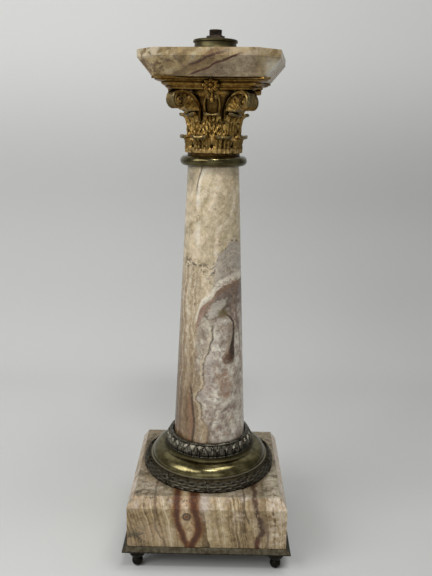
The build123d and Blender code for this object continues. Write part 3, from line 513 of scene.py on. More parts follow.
def slabOnyx():
    stone = Stone("slabOnyx", "z", "along")
    z, wobble, cloud, curd, lay = stone.z, stone.wobble, stone.cloud, stone.curd, stone.lay
    # along the slab's front edge, and in from it
    along = stone.places["along"] = stone.x * math.cos(slabTurn) + stone.y * math.sin(slabTurn)
    inward = stone.places["inward"] = stone.y * math.cos(slabTurn) - stone.x * math.sin(slabTurn)
    for name, line in slabLines.items():
        stone.places[name] = stone.off(line)
    front = {"inward": (0, -34)}
    tilt = z - 399 - along * 0.4 + inward * 0.25 + stone.slow * 26 + wobble + stone.ragged * 0.5
    stone.colour = stone.ramp(
        stone.layers(tilt, 7, 3, 0.5) * 0.28 + stone.layers(tilt, 1.6, 3, 0.65) * 0.14 + cloud * 0.33 + curd * 0.25,
        (0.40, (0.085, 0.052, 0.02)), (0.455, (0.19, 0.132, 0.058)), (0.51, (0.29, 0.215, 0.105)),
        (0.56, (0.38, 0.30, 0.17)), (0.62, (0.48, 0.43, 0.32)),
    )
    # two red-brown veins rise to the right across the front, and it is greyer below them
    grey = stone.ramp(
        curd * 0.5 + cloud * 0.5, (0.4, (0.16, 0.12, 0.075)), (0.5, (0.25, 0.20, 0.14)), (0.6, (0.34, 0.29, 0.22))
    )
    below = stone.off(of="lower", wobble=0.5).fade(1, -2) * (along + wobble).fade(-16, 0)
    lay(grey, 0.9, below, along=(44, 34), **front)

    def vein(shade, share, width, of, **look):
        stone.vein(shade, share, width, of=of, **look, **front)

    vein((0.11, 0.066, 0.030), 0.65, 24, "along", at=-14, wobble=2, z=(412, 404), curd=(0.44, 0.56))
    vein((0.20, 0.105, 0.045), 0.7, 4.5, "upper", at=0.5, wobble=0.5, along=(-14, 0, 40, 30), curd=(0.40, 0.54))
    vein((0.05, 0.016, 0.006), 0.9, 1.5, "upper", wobble=0.45, ragged=0.4, along=(-18, -8, 24, 14), curd=(0.36, 0.48))
    vein((0.055, 0.010, 0.003), 1, 1.1, "lower", wobble=0.35, ragged=0.3, along=(-18, -9, 32, 24), curd=(0.28, 0.42))
    # darker low at the left, paler high at both ends and on the cut corner
    patch = stone.noise(8, 4, 0.65, 0.6, 16.5).fade(0.5, 0.6)
    lay((0.07, 0.036, 0.014), 0.75, patch, along=(-8, -24), z=(417, 408), **front)
    lay((0.52, 0.47, 0.37), 0.75, cloud=(0.42, 0.52), z=(408, 414), along=(-18, -30), **front)
    lay((0.45, 0.37, 0.25), 0.6, cloud=(0.45, 0.55), z=(411.5, 415), along=(6, 20), **front)
    lay((0.62, 0.585, 0.52), 0.85, along=(39, 47), z=(414, 406), **front)
    stone.hair((0.09, 0.05, 0.028), 0.6, (0.48, 0.58))
    pits = stone.noise(2.4, 3, 0.6, shift=2.7).fade(0.62, 0.72) * stone.noise(18, 2).fade(0.48, 0.6)
    lay((0.07, 0.045, 0.022), 0.7, pits)
    # painted light: the sloped face below the upright band is painted lighter to lift the shade on it, and the band a
    # little darker
    tone = stone.mix(z.fade(410.6, 411.4), (1.09, 1.03, 0.90), (0.98, 0.94, 0.86))
    gloss = stone.noise(7).fade(0.2, 0.8) * 0.14 + 0.22
    return stone.cut(tone, 0.5, 25, gloss, cloud * 0.2 - pits * 0.5)


def giltBronze():
    metal = Finish("giltBronze")
    metal.radius()
    lay = metal.lay
    worn = metal.places["worn"] = metal.noise(3.6, 5, 0.72, 0.5)
    metal.colour = metal.ramp(
        worn, (0.38, (0.10, 0.052, 0.013)), (0.48, (0.27, 0.155, 0.036)), (0.56, (0.44, 0.275, 0.075)),
        (0.66, (0.62, 0.44, 0.17)),
    )
    lay((0.15, 0.10, 0.03), 0.5, metal.noise(20, 3, 0.5, 0.2, 3).fade(0.5, 0.62))
    # greener on the curled tips of the leaves and out on the scrolls, browner on the abacus
    tips, scrolls = metal.where(radius=(24.8, 27.5), z=(376, 374)), metal.where(radius=(41, 44), z=(390, 389))
    lay((0.085, 0.082, 0.052), 0.7, tips.larger(scrolls))
    lay((0.115, 0.052, 0.010), 0.55, z=(387, 390))
    # brown low down, yellow as a painted highlight where the upper leaves face front and back, and painted shade on the
    # bell behind the scrolls
    lay((0.10, 0.064, 0.022), 0.6, z=(355, 350))
    lay((0.72, 0.50, 0.16), 0.6, z=(352, 357, 374, 366), worn=(0.44, 0.6), x=(-20, -6, 20, 6))
    # painted shade: dark on the bell where it lies deep behind the scrolls
    lay((0.035, 0.018, 0.005), 0.8, radius=(23.4, 22.6), z=(366, 371, 391, 388))
    # dark in the crevices: dirt and patina in the hollows, and painted shade
    deep = lay((0.014, 0.006, 0.002), 0.97, metal.crevice(3.2).fade(0.94, 0.4))
    lay((0.75, 0.52, 0.21), 0.5, metal.crevice(0.9, inside=True).fade(0.45, 0.2))
    metal.relief(metal.noise(1.1, 4, 0.7) * 0.25 + worn * 0.3, 0.75)
    return metal.made(Metallic=1.0, Roughness=worn * 0.25 + deep * 0.2 + 0.22)


def polishedBrass():
    metal = Finish("polishedBrass")
    lay = metal.lay
    tarnish = metal.noise(12, 5, 0.65, 0.3)
    metal.colour = metal.ramp(
        tarnish, (0.38, (0.06, 0.048, 0.020)), (0.5, (0.112, 0.094, 0.042)), (0.62, (0.19, 0.165, 0.08))
    )
    # the ring and the collar high up are painted darker than the base, a painted dark reflection, and the collar is
    # dull
    lay((0.04, 0.032, 0.014), 0.5, z=(200, 320))
    collarPaintedDark = lay((0.022, 0.019, 0.01), 0.35, z=(410, 417))
    # dull in the torus's hollow neck, where the leaf band stands, and painted dark there as painted shade, with a
    # painted highlight along the bead at its foot
    neckPaintedShade = lay((0.028, 0.023, 0.011), 0.8, z=(85.6, 87, 120, 100))
    beadPaintedHighlight = lay((0.30, 0.275, 0.20), 0.8, z=(77.85, 77.65, 76.4, 76.6))
    spun = metal.noise(3, 3, 0.6, shift=2, stretch=(0.05, 0.05, 1.0))
    metal.relief(spun * 0.06 + tarnish * 0.08, 0.5)
    gloss = tarnish * 0.26 + collarPaintedDark * 0.22 + neckPaintedShade * 0.35 + beadPaintedHighlight * 0.35 + 0.08
    return metal.made(Metallic=1.0, Roughness=gloss)


def darkBronze():
    metal = Finish("darkBronze")
    metal.radius()
    lay, where = metal.lay, metal.where
    worn = metal.places["worn"] = metal.noise(3.4, 5, 0.7, 0.3)
    metal.colour = metal.ramp(
        worn, (0.38, (0.022, 0.018, 0.012)), (0.5, (0.062, 0.053, 0.036)), (0.62, (0.13, 0.117, 0.085))
    )
    # silvery where the leaves of the band stand proud, and the wreath browner and duller
    # painted shade along the foot of the leaf band, under its bulge
    lay((0.02, 0.017, 0.012), 0.7, z=(91.5, 90.5, 87.5, 89.5))
    leaves = where(z=(90.5, 91.5, 87.5, 89.5))
    lay((0.20, 0.19, 0.155), 0.55, leaves, worn=(0.4, 0.56))
    wreathShare = lay((0.026, 0.019, 0.009), 0.62, z=(65, 66.5, 80, 79), radius=(51, 51.6))
    lay((0.92, 0.87, 0.76), 1, wreathShare, "MULTIPLY")
    # dark in the crevices: dirt and patina in the hollows, and painted shade
    lay((0.009, 0.007, 0.005), 0.92, metal.crevice(2.2).fade(0.92, 0.4))
    lay((0.55, 0.54, 0.46), 1, metal.crevice(0.7, inside=True).fade(0.5, 0.2) * (leaves * 0.6 + 0.12))
    # the plate under the stone is duller and painted darker, as painted shade under the stone, and the feet are painted
    # nearly black, as painted shade under the plate
    below = lay((0.03, 0.024, 0.015), 0.55, z=(23.5, 22))
    lay((0.012, 0.011, 0.009), 0.85, z=(18.6, 17.8))
    metal.relief(metal.noise(0.9, 4, 0.7) * 0.18 + worn * 0.15, 0.6)
    return metal.made(Metallic=1.0, Roughness=worn * 0.2 + below * 0.18 + wreathShare * 0.16 + 0.26)


def agedSteel():
    metal = Finish("agedSteel")
    rust = metal.noise(2.4, 4, 0.65, 0.3)
    metal.colour = metal.ramp(
        rust, (0.3, (0.03, 0.026, 0.022)), (0.5, (0.065, 0.05, 0.038)), (0.7, (0.11, 0.065, 0.038))
    )
    metal.relief(rust * 0.2, 0.6)
    return metal.made(Metallic=0.8, Roughness=rust * 0.3 + 0.4)


finishes = {
    "column_onyx": columnOnyx(),
    "plinth_onyx": plinthOnyx(),
    "slab_onyx": slabOnyx(),
    "gilt_bronze": giltBronze(),
    "polished_brass": polishedBrass(),
    "dark_bronze": darkBronze(),
    "aged_steel": agedSteel(),
}
print("finishes ready:", ", ".join(finishes))

# every CAD piece first takes the finish that the record gives it
for row in frame["record"]["subparts"]:
    mesh = frame["nodes"][row["node"]].data
    mesh.materials.clear()
    mesh.materials.append(finishes[row["material_slot"]])


# from here every length is in mm, until build() turns it into metres
def turned(points, degrees):
    angle = math.radians(degrees)
    points = np.asarray(points, float)
    x, y = points[..., 0], points[..., 1]
    return np.stack(
        [x * math.cos(angle) - y * math.sin(angle), x * math.sin(angle) + y * math.cos(angle), points[..., 2]], -1
    )


def skin(rings, around=True, capped=True, along=False):
    # faces between rings of points; around closes each ring, along joins the last ring to the first
    rings = np.asarray(rings, float)
    rows, columns, _ = rings.shape
    index = np.arange(rows * columns).reshape(rows, columns)
    wrapped = np.vstack([index, index[:1]]) if along else index
    wrapped = np.hstack([wrapped, wrapped[:, :1]]) if around else wrapped
    quads = [wrapped[:-1, :-1], wrapped[:-1, 1:], wrapped[1:, 1:], wrapped[1:, :-1]]
    faces = np.stack(quads, -1).reshape(-1, 4).tolist()
    points = rings.reshape(-1, 3)
    if capped and not along:
        for row in (0, rows - 1):
            points = np.vstack([points, rings[row].mean(0)])
            ring = index[row]
            faces += [[int(a), int(b), len(points) - 1] for a, b in zip(ring, np.roll(ring, -1))]
    return points, faces


def together(*parts):
    points, faces, start = [], [], 0
    for partPoints, partFaces in parts:
        points.append(partPoints)
        faces += [[corner + start for corner in face] for face in partFaces]
        start += len(partPoints)
    return np.vstack(points), faces


def build(name, part, finish):
    # one clean mesh object; edges sharper than the crease stay sharp
    points, faces = part
    crease = math.radians(38)
    mesh = bpy.data.meshes.new(name)
    mesh.from_pydata((np.asarray(points) * mm).tolist(), [], faces)
    form = bmesh.new()
    form.from_mesh(mesh)
    bmesh.ops.remove_doubles(form, verts=form.verts, dist=1e-7)
    bmesh.ops.dissolve_degenerate(form, edges=form.edges, dist=1e-8)
    bmesh.ops.recalc_face_normals(form, faces=form.faces)
    for face in form.faces:
        face.smooth = True
    for edge in form.edges:
        edge.smooth = len(edge.link_faces) != 2 or edge.calc_face_angle(0.0) < crease
    return placed(name, mesh, form, finishes[finish])


def placed(name, mesh, form, material):
    form.to_mesh(mesh)
    form.free()
    mesh.materials.append(material)
    piece = bpy.data.objects.new(name, mesh)
    scene.collection.objects.link(piece)
    return piece


def fit(piece, body, slot, *nodes):
    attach(piece, body)
    if nodes:
        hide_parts(*nodes)
    print("made", piece.name, len(piece.data.polygons), "faces")


def through(points, count):
    # a smooth line through the points, evenly spaced along its length
    points = np.asarray(points, float)
    ends = np.vstack([2 * points[0] - points[1], points, 2 * points[-1] - points[-2]])
    fine = []
    for a, b, c, d in zip(ends, ends[1:], ends[2:], ends[3:]):
        for t in np.linspace(0, 1, 24, endpoint=False):
            bend = (2 * a - 5 * b + 4 * c - d) * t**2 + (3 * b - a - 3 * c + d) * t**3
            fine.append(0.5 * (2 * b + (c - a) * t + bend))
    fine = np.array(fine + [points[-1]])
    length = np.append(0, np.cumsum(np.linalg.norm(np.diff(fine, axis=0), axis=1)))
    wanted = np.linspace(0, length[-1], count)
    return np.stack([np.interp(wanted, length, fine[:, axis]) for axis in range(fine.shape[1])], -1)


def leftOf(line):
    # unit normals to the left of a line in a plane
    tangent = np.gradient(line, axis=0)
    tangent /= np.linalg.norm(tangent, axis=1, keepdims=True)
    return np.stack([-tangent[:, 1], tangent[:, 0]], -1)


def circles(profile, steps):
    # for each (radius, place along the axis) of a profile, the two coordinates of its circle and that place
    angles = np.radians(np.arange(steps) * 360 / steps)
    for radius, along in profile:
        yield radius * np.cos(angles), radius * np.sin(angles), np.full(steps, float(along))


def lathe(profile, steps):
    # a closed profile of (radius, z) points, turned about the column's axis
    return skin([np.stack([x, y, z], -1) for x, y, z in circles(profile, steps)], capped=False, along=True)


def repeatTree():
    # Geometry Nodes: copies of a part turned about the column's axis, made real, with their finish
    tree = bpy.data.node_groups.new("ringOf", "GeometryNodeTree")
    for name, kind in (("Part", "Geometry"), ("Count", "Int"), ("First Turn", "Float"), ("Finish", "Material")):
        tree.interface.new_socket(name, in_out="INPUT", socket_type="NodeSocket" + kind)
    tree.interface.new_socket("Ring", in_out="OUTPUT", socket_type="NodeSocketGeometry")
    kinds = {
        "given": "NodeGroupInput", "result": "NodeGroupOutput", "points": "GeometryNodePoints",
        "copies": "GeometryNodeInstanceOnPoints", "number": "GeometryNodeInputIndex", "share": "ShaderNodeMath",
        "turn": "ShaderNodeMath", "angle": "ShaderNodeMath", "spin": "ShaderNodeCombineXYZ",
        "real": "GeometryNodeRealizeInstances", "dressed": "GeometryNodeSetMaterial",
    }
    node = {name: tree.nodes.new(kind) for name, kind in kinds.items()}
    for name, operation in (("share", "DIVIDE"), ("turn", "MULTIPLY_ADD"), ("angle", "RADIANS")):
        node[name].operation = operation
    node["turn"].inputs[1].default_value = 360.0
    links = (
        ("given", "Count", "points", "Count"), ("number", 0, "share", 0), ("given", "Count", "share", 1),
        ("share", 0, "turn", 0), ("given", "First Turn", "turn", 2), ("turn", 0, "angle", 0),
        ("angle", 0, "spin", "Z"), ("points", 0, "copies", "Points"), ("given", "Part", "copies", "Instance"),
        ("spin", 0, "copies", "Rotation"), ("copies", 0, "real", 0), ("real", 0, "dressed", "Geometry"),
        ("given", "Finish", "dressed", "Material"), ("dressed", 0, "result", 0),
    )
    for source, output, goal, place in links:
        tree.links.new(node[source].outputs[output], node[goal].inputs[place])
    return tree


ringTree = repeatTree()


def ringOf(name, part, finish, count, first):
    # count copies of a part about the column's axis, as one plain mesh
    source = build(name + "Source", part, finish)
    modifier = source.modifiers.new("ring", "NODES")
    modifier.node_group = ringTree
    sockets = {item.name: item.identifier for item in ringTree.interface.items_tree if item.in_out == "INPUT"}
    for socket, value in (("Count", count), ("First Turn", float(first)), ("Finish", finishes[finish])):
        modifier[sockets[socket]] = value
    evaluated = source.evaluated_get(bpy.context.evaluated_depsgraph_get())
    mesh = bpy.data.meshes.new_from_object(evaluated)
    mesh.name = name
    source.modifiers.remove(modifier)
    bpy.data.objects.remove(source)
    piece = bpy.data.objects.new(name, mesh)
    scene.collection.objects.link(piece)
    return piece


def merged(name, *pieces):
    # several pieces of one finish as one object
    form = bmesh.new()
    for piece in pieces:
        form.from_mesh(piece.data)
    material = pieces[0].data.materials[0]
    for piece in pieces:
        bpy.data.objects.remove(piece)
    return placed(name, bpy.data.meshes.new(name), form, material)


def low(node):
    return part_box(node)[0].z * 1000


def high(node):
    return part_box(node)[1].z * 1000


capitalTurn = -4.0
bellTop = high("capital_bell")
# what all the acanthus leaves share: shares of their length and half width, and mm
leafForm = {
    "sweep": 0.30, "notch": 0.16, "tipFrom": 0.9, "tipCut": 0.55, "bow": 1.6, "flatten": 0.9, "grooveHalf": 0.7,
    "fineAcross": 0.62, "fineUp": 4.5, "edgeFrom": 0.78, "edgeDrop": 0.9, "lipEdge": 0.3, "proud": 0.4,
    "endFrom": 0.93, "endCut": 0.96, "thinEdge": 0.35, "lipShare": 0.5, "lipSunk": 0.2,
}


def rising(value, start, end=1.0):
    # 0 up to start, then straight up to 1 at end
    return np.clip((value - start) / (end - start), 0, 1)


def acanthus(leaf):
    # one leaf on the +X side: lobes swept upward, pipes between them, ribs up the middle and a thick curled lip
    form = leafForm
    line = through(leaf["side"], leaf["rows"])
    left = leftOf(line)
    u, v = np.meshgrid(np.linspace(-1, 1, leaf["columns"]), np.linspace(0, 1, leaf["rows"]))
    lobes, out = leaf["lobes"], np.abs(u)
    notch = np.abs(np.cos(math.pi * (lobes * (v - form["sweep"])))) ** 5
    inLip = rising(v, leaf["lipFrom"], form["tipFrom"])
    width = leaf["half"] * (1 - leaf["taper"] * v**3) * (1 - form["notch"] * notch * (1 - inLip))
    width *= np.sqrt(1 - form["tipCut"] * rising(v, form["tipFrom"]) ** 2)
    rowAt = np.clip(v + leaf["lift"] * out ** form["bow"] * np.sin(math.pi * v), 0, 1) * (leaf["rows"] - 1)
    rows = np.arange(leaf["rows"])
    reach, height = (np.interp(rowAt, rows, line[:, axis]) for axis in (0, 1))
    outR, outZ = (-np.interp(rowAt, rows, left[:, axis]) for axis in (0, 1))
    side = u * width  # mm from the middle
    pipes = leaf["pipe"] * np.cos(2 * math.pi * lobes * (v - form["sweep"] * out)) * np.clip(out * 3 - 0.3, 0, 1)
    # upright ribs with grooves between them, the groove up the middle the deepest
    ribs = -leaf["rib"] * np.cos(2 * math.pi * np.abs(side) / leaf["ribGap"])
    groove = leaf["groove"] * np.exp(-((side / form["grooveHalf"]) ** 2))
    fine = leaf["fine"] * np.cos(2 * math.pi * (np.abs(side) * form["fineAcross"] - v * form["fineUp"]))
    edge = form["edgeDrop"] * rising(out, form["edgeFrom"]) ** 1.5
    front = (pipes + ribs - groove + fine) * (1 - form["flatten"] * inLip)
    front = front - edge * (1 - form["lipEdge"] * inLip) + form["proud"]
    thick = leaf["thick"] + (leaf["lip"] - leaf["thick"]) * inLip**0.7
    thick = thick * np.sqrt(1 - form["endCut"] * rising(v, form["endFrom"]) ** 2) * (1 - form["thinEdge"] * u**4)
    front = front * (1 - inLip) + (thick / 2 + form["lipShare"] * (front - edge) - form["lipSunk"]) * inLip

    def place(offset):
        r, z = reach + outR * offset, height + outZ * offset
        angle = side / np.maximum(r, 1)
        return np.stack([r * np.cos(angle), r * np.sin(angle), z], -1)

    return skin(np.concatenate([place(front), place(front - thick)[:, ::-1]], axis=1))


# each tier: the line of its leaves and the band that they stand on, as (radius, z), and its turn on the capital
tiers = {
    "lower": {
        "side": [(22.5, 342.2), (22.6, 345.5), (22.5, 348.6), (22.8, 351.0), (23.8, 353.1), (25.4, 354.2),
                 (27.9, 354.5)],
        "rows": 61, "columns": 45, "half": 8.5, "lobes": 3, "lift": 0.05, "taper": 0.28, "lipFrom": 0.68,
        "pipe": 0.1, "rib": 0.5, "ribGap": 3.4, "groove": 0.5, "fine": 0.12, "thick": 1.3, "lip": 2.6, "turn": 22.5,
        "band": [(20.2, 342.5), (22.7, 342.5), (22.9, 343.1), (22.8, 345.3), (22.3, 345.7), (20.2, 345.7)],
    },
    "upper": {
        "side": [(21.2, 349.0), (21.3, 356), (21.4, 361), (21.9, 365.3), (23.0, 368.6), (24.7, 370.7), (26.4, 371.4),
                 (28.2, 371.5)],
        "rows": 77, "columns": 45, "half": 7.9, "lobes": 4, "lift": 0.08, "taper": 0.25, "lipFrom": 0.76,
        "pipe": 0.25, "rib": 0.25, "ribGap": 2.7, "groove": 0.25, "fine": 0.28, "thick": 1.3, "lip": 2.3, "turn": 0.0,
        "band": [(20.2, 349.5), (21.5, 349.5), (21.6, 354.0), (21.2, 354.5), (20.2, 354.5)],
    },
}
for name, tier in tiers.items():
    band = build(name + "Band", lathe(tier["band"], 128), "gilt_bronze")
    leaves = ringOf(name + "Leaves", acanthus(tier), "gilt_bronze", 8, capitalTurn + tier["turn"])
    fit(merged(name + "LeafTier", band, leaves), "capital", "gilt_bronze", name + "_leaf_tier")

volute = {
    "reach": 37.8, "eyeDrop": 9.2, "rootReach": 20.6, "rootDrop": 15.4, "footDrop": 24.0, "riseSteps": 24,
    "rootSpread": 6.4, "rootHalf": 2.2, "half": 2.28, "disc": 3.6, "rootStrap": 1.8, "apart": 0.03, "grow": 0.24,
    # the strap's section: ribs and rounded edges on top, hollows in its sides, a bulge below, all in mm or shares
    "rib": 0.3, "edge": 0.45, "topRise": 0.05, "hollow": 0.14, "belly": 0.5,
    "sideAt": (0.12, 0.28, 0.5, 0.72, 0.88), "hollowed": (0, 1, 1, 1, 0),
    # the web: from where to where its inner end goes, out and down from the eye, and how deep its flutes are
    "webFrom": (-9.0, -7.5), "webTravel": (7.0, 6.5), "webSunk": 1.1, "flute": 0.35, "webSteps": 9, "discGap": 0.2,
    # turns wound from the top of the scroll, distance from the eye, thickness of the strap
    "coil": [(0.0, 9.2, 3.4), (0.125, 8.3, 3.2), (0.25, 6.9, 2.7), (0.375, 5.5, 2.1), (0.5, 4.6, 1.7),
             (0.75, 4.3, 1.5), (1.0, 4.2, 1.4), (1.5, 2.8, 1.1), (2.0, 1.9, 0.9)],
    # the eye and the disc round it: radius, distance from the middle of the scroll
    "eye": [(0, 5.0), (0.9, 4.8), (1.5, 4.3), (1.8, 4.2), (2.0, 3.6), (3.9, 3.6)],
}


def cornerVolute():
    v = volute
    reach, rootReach, eyeZ = v["reach"], v["rootReach"], bellTop - v["eyeDrop"]
    foot = [(rootReach + 0.3, bellTop - v["footDrop"]), (rootReach, bellTop - v["footDrop"] * 0.8)]
    sweep = np.radians(np.linspace(0, 90, v["riseSteps"]))
    rise = [reach - (reach - rootReach) * np.cos(sweep), bellTop - v["rootDrop"] + v["rootDrop"] * np.sin(sweep)]
    wound = np.arange(0, 2.0001, 1 / 32)
    turns, radii, straps = np.array(v["coil"]).T
    radius = np.interp(wound, turns, radii)
    coil = np.stack([reach + radius * np.sin(wound * math.tau), eyeZ + radius * np.cos(wound * math.tau)], -1)
    line = np.vstack([foot, np.stack(rise, -1), coil[1:]])
    root = len(foot) + v["riseSteps"]
    climb = np.concatenate([np.zeros(len(foot)), np.linspace(0, 1, v["riseSteps"]), np.ones(len(coil) - 1)])
    curl = np.concatenate([np.zeros(root), wound[1:] / 2])
    left = leftOf(line)
    spread = v["rootSpread"] + (v["half"] - v["apart"] - v["rootSpread"]) * climb**0.9
    half = v["rootHalf"] + (v["half"] - v["rootHalf"]) * climb
    strap = np.concatenate([np.linspace(v["rootStrap"], straps[0], root), np.interp(wound, turns, straps)[1:]])
    # a section of the strap: its ribbed top, its hollowed sides and its rounded underside
    across = np.linspace(-1, 1, 25)
    edge = np.abs(across) ** 8
    top = v["rib"] * np.cos(3 * math.pi * across) * (1 - edge) - v["edge"] * edge + v["topRise"]
    under = np.linspace(1, -1, 11)[1:-1]
    sideAt, hollowed = np.array(v["sideAt"]), np.array(v["hollowed"])
    parts = []
    for side in (1, -1):
        rings = []
        for i in range(len(line)):
            belly = -strap[i] + v["belly"] * (1 - under**2) * (1 - curl[i])
            hollow = 1 - v["hollow"] * hollowed * climb[i]
            sideDepth = -strap[i] * sideAt
            lateral = np.concatenate([across, hollow, under, -hollow[::-1]])
            depth = np.concatenate([top, sideDepth, belly, sideDepth[::-1]])
            out = side * (spread[i] + lateral * half[i]) * (1 + v["grow"] * curl[i])
            ring = line[i] + left[i] * depth[:, None]
            rings.append(np.stack([ring[:, 0], out, ring[:, 1]], -1))
        parts.append(skin(rings))
    # a fluted web closes the scroll in, from the strap to the corner leaf behind it
    web, webEnd = [], root + v["webSteps"]
    start, travel = np.array(v["webFrom"]), np.array(v["webTravel"])
    for i in range(len(foot), webEnd + 1):
        inward = line[i] - left[i] * strap[i] * 0.7
        goal = np.array([reach, eyeZ]) + start + travel * i / webEnd
        depth = spread[i] + half[i] - v["webSunk"] + v["flute"] * math.cos(i * math.tau / 4)
        slope = np.linspace(0, 1, 9)
        spots = inward + (goal - inward) * slope[:, None]
        wide = depth + (v["disc"] - v["discGap"] - depth) * slope**0.8
        rows = [(r, w, z) for (r, z), w in zip(spots, wide)]
        web.append(rows + [(r, -w, z) for r, w, z in reversed(rows)])
    parts.append(skin(web))
    # the sunk disc between the turns of the scroll, and the eye
    profile = v["eye"] + [(r, -w) for r, w in reversed(v["eye"])]
    parts.append(skin([np.stack([reach + x, w, eyeZ + z], -1) for x, z, w in circles(profile, 48)], capped=False))
    return together(*parts)


fit(
    ringOf("cornerVolutes", cornerVolute(), "gilt_bronze", 4, capitalTurn - 45),
    "capital", "gilt_bronze", "volute_front_right", "volute_back_right", "volute_back_left", "volute_front_left",
)

cornerLeaf = {
    "side": [(21.0, 371.0), (22.2, 376.5), (24.4, 380.6), (27.6, 383.4), (31.0, 383.6), (33.2, 381.8), (34.0, 379.6)],
    "rows": 53, "columns": 31, "half": 5.4, "lobes": 3, "lift": 0.08, "taper": 0.3, "lipFrom": 0.8,
    "pipe": 0.3, "rib": 0.2, "ribGap": 2.2, "groove": 0.1, "fine": 0.15, "thick": 1.2, "lip": 1.6,
}
fit(ringOf("cornerLeaves", acanthus(cornerLeaf), "gilt_bronze", 4, capitalTurn - 45), "capital", "gilt_bronze")

helix = {
    "spread": 2.85, "scroll": 2.6, "eye": 0.8, "turns": 1.6, "back": 20.6, "front": 24.9, "strap": 1.0, "gap": 2.4,
    "rootBack": 1.6, "rise": 1.1, "sunk": 1.0, "dome": 0.7,
    "stem": [(5.2, 19.5), (6.3, 14.5), (6.4, 9.5)],  # mm from the middle, mm below the top of the bell
    # share of the strap's thickness, mm that its face stands back there
    "section": [(0, 0.3), (0.12, 0), (0.32, 0), (0.5, 0.35), (0.68, 0), (0.88, 0), (1, 0.3)],
}


def helixPair():
    h = helix
    centreZ = bellTop - h["gap"] - h["scroll"]
    angles = np.radians(np.arange(0, h["turns"] * 360 + 5, 11.25))
    radius = h["scroll"] * (h["eye"] / h["scroll"]) ** (angles / angles[-1])
    # the scroll begins at its outer side and runs up and over towards the middle
    coil = np.stack([h["spread"] + radius * np.cos(angles), centreZ + radius * np.sin(angles)], -1)
    stem = through([(out, bellTop - drop) for out, drop in h["stem"]] + [tuple(coil[0])], 20)[:-1]
    line = np.vstack([stem, coil])
    curl = np.concatenate([np.zeros(len(stem)), angles / angles[-1]])
    climb = np.concatenate([np.linspace(0, 1, len(stem)), np.ones(len(coil))])
    left = leftOf(line)
    dome = np.radians(range(0, 90, 15))
    floor, rim = h["front"] - h["sunk"], h["scroll"] - h["dome"]
    disc = [(rim, h["back"]), (rim, floor), (h["eye"], floor)]
    disc += [(h["eye"] * math.cos(a), h["front"] + h["dome"] + h["dome"] * math.sin(a)) for a in dome]
    parts = []
    for side in (1, -1):
        rings = []
        for i in range(len(line)):
            thick = h["strap"] * (1.5 - 0.5 * climb[i]) * (1 - 0.3 * curl[i])
            front = h["front"] - h["rootBack"] * (1 - climb[i]) ** 1.5 + h["rise"] * curl[i]
            section = [(0, h["back"]), *((share, front - back) for share, back in h["section"]), (1, h["back"])]
            spots = [(r, line[i] + left[i] * share * thick) for share, r in section]
            rings.append([(r, side * spot[0], spot[1]) for r, spot in spots])
        parts.append(skin(rings))
        round = [np.stack([r, side * (h["spread"] + y), centreZ + z], -1) for y, z, r in circles(disc, 32)]
        parts.append(skin(round))
    return together(*parts)


fit(
    ringOf("innerHelices", helixPair(), "gilt_bronze", 4, capitalTurn - 90),
    "capital", "gilt_bronze", "helices_front", "helices_right", "helices_back", "helices_left",
)

abacus = {
    "foot": (44.5, 29.5), "top": (59.0, 36.0), "cut": 3.5, "bore": 6.5, "sidePoints": 28, "height": 8.5,
    # share of the way out from foot to top, and height above the bell
    "moulding": [
        (0.0, 0.0), (0.02, 0.5), (0.07, 0.9), (0.13, 1.2), (0.10, 1.5), (0.12, 1.9), (0.20, 2.3), (0.30, 2.9),
        (0.38, 3.7), (0.40, 4.2), (0.36, 4.4), (0.37, 4.7), (0.52, 5.0), (0.68, 5.5), (0.80, 6.0), (0.83, 6.3),
        (0.78, 6.5), (0.80, 6.7), (0.97, 6.8), (1.0, 7.0), (1.0, 8.2), (0.985, 8.5),
    ],
}


def abacusOutline(share):
    # hollow sides between cut horns, seen from above; each side is an arc of a circle through three points
    horn, side = (a + share * (b - a) for a, b in zip(abacus["foot"], abacus["top"]))
    points = []
    for turn in (0, 90, 180, 270):
        end = turned([[horn, abacus["cut"], 0]], turn - 45)[0][:2]
        other = turned([[horn, -abacus["cut"], 0]], turn + 45)[0][:2]
        middle = turned([[side, 0, 0]], turn)[0][:2]
        chord = np.linalg.norm(other - end) / 2
        sag = np.linalg.norm((end + other) / 2) - side
        radius = (chord**2 + sag**2) / (2 * sag)
        direction = middle / np.linalg.norm(middle)
        centre = middle + direction * radius
        spread = math.asin(chord / radius)
        square = np.array([-direction[1], direction[0]])
        for angle in np.linspace(-spread, spread, abacus["sidePoints"]):
            points.append(centre - direction * radius * math.cos(angle) + square * radius * math.sin(angle))
    return np.array(points)


def abacusForm():
    bore = [(abacus["bore"] * p / np.linalg.norm(p)) for p in abacusOutline(0)]
    outlines = [(bore, 0.0), *((abacusOutline(share), rise) for share, rise in abacus["moulding"])]
    outlines.append((bore, abacus["height"]))
    rings = [[(*p, bellTop + rise) for p in outline] for outline, rise in outlines]
    return skin(turned(rings, capitalTurn), capped=False, along=True)


fit(build("abacusMoulded", abacusForm(), "gilt_bronze"), "capital", "gilt_bronze", "abacus")

fleuron = {
    "z": 392.55, "back": 27.4, "front": 36.2, "petals": 8, "wide": 1.16, "tall": 0.92, "ring": 3.6, "petal": 2.3,
    "boss": 2.0, "bossRise": 1.9, "groove": 0.5, "grooveHalf": 0.06, "spokes": 120, "pendantReach": 25.9,
    "rim": (-1.4, -0.7),  # mm behind the front
    # mm below the middle of the flower, radius
    "pendant": [(3.0, 0.9), (4.5, 1.2), (6.0, 1.0), (7.0, 0.8), (8.0, 1.2), (9.4, 1.75), (10.8, 1.7), (12.0, 1.1),
                (12.6, 0.3)],
}


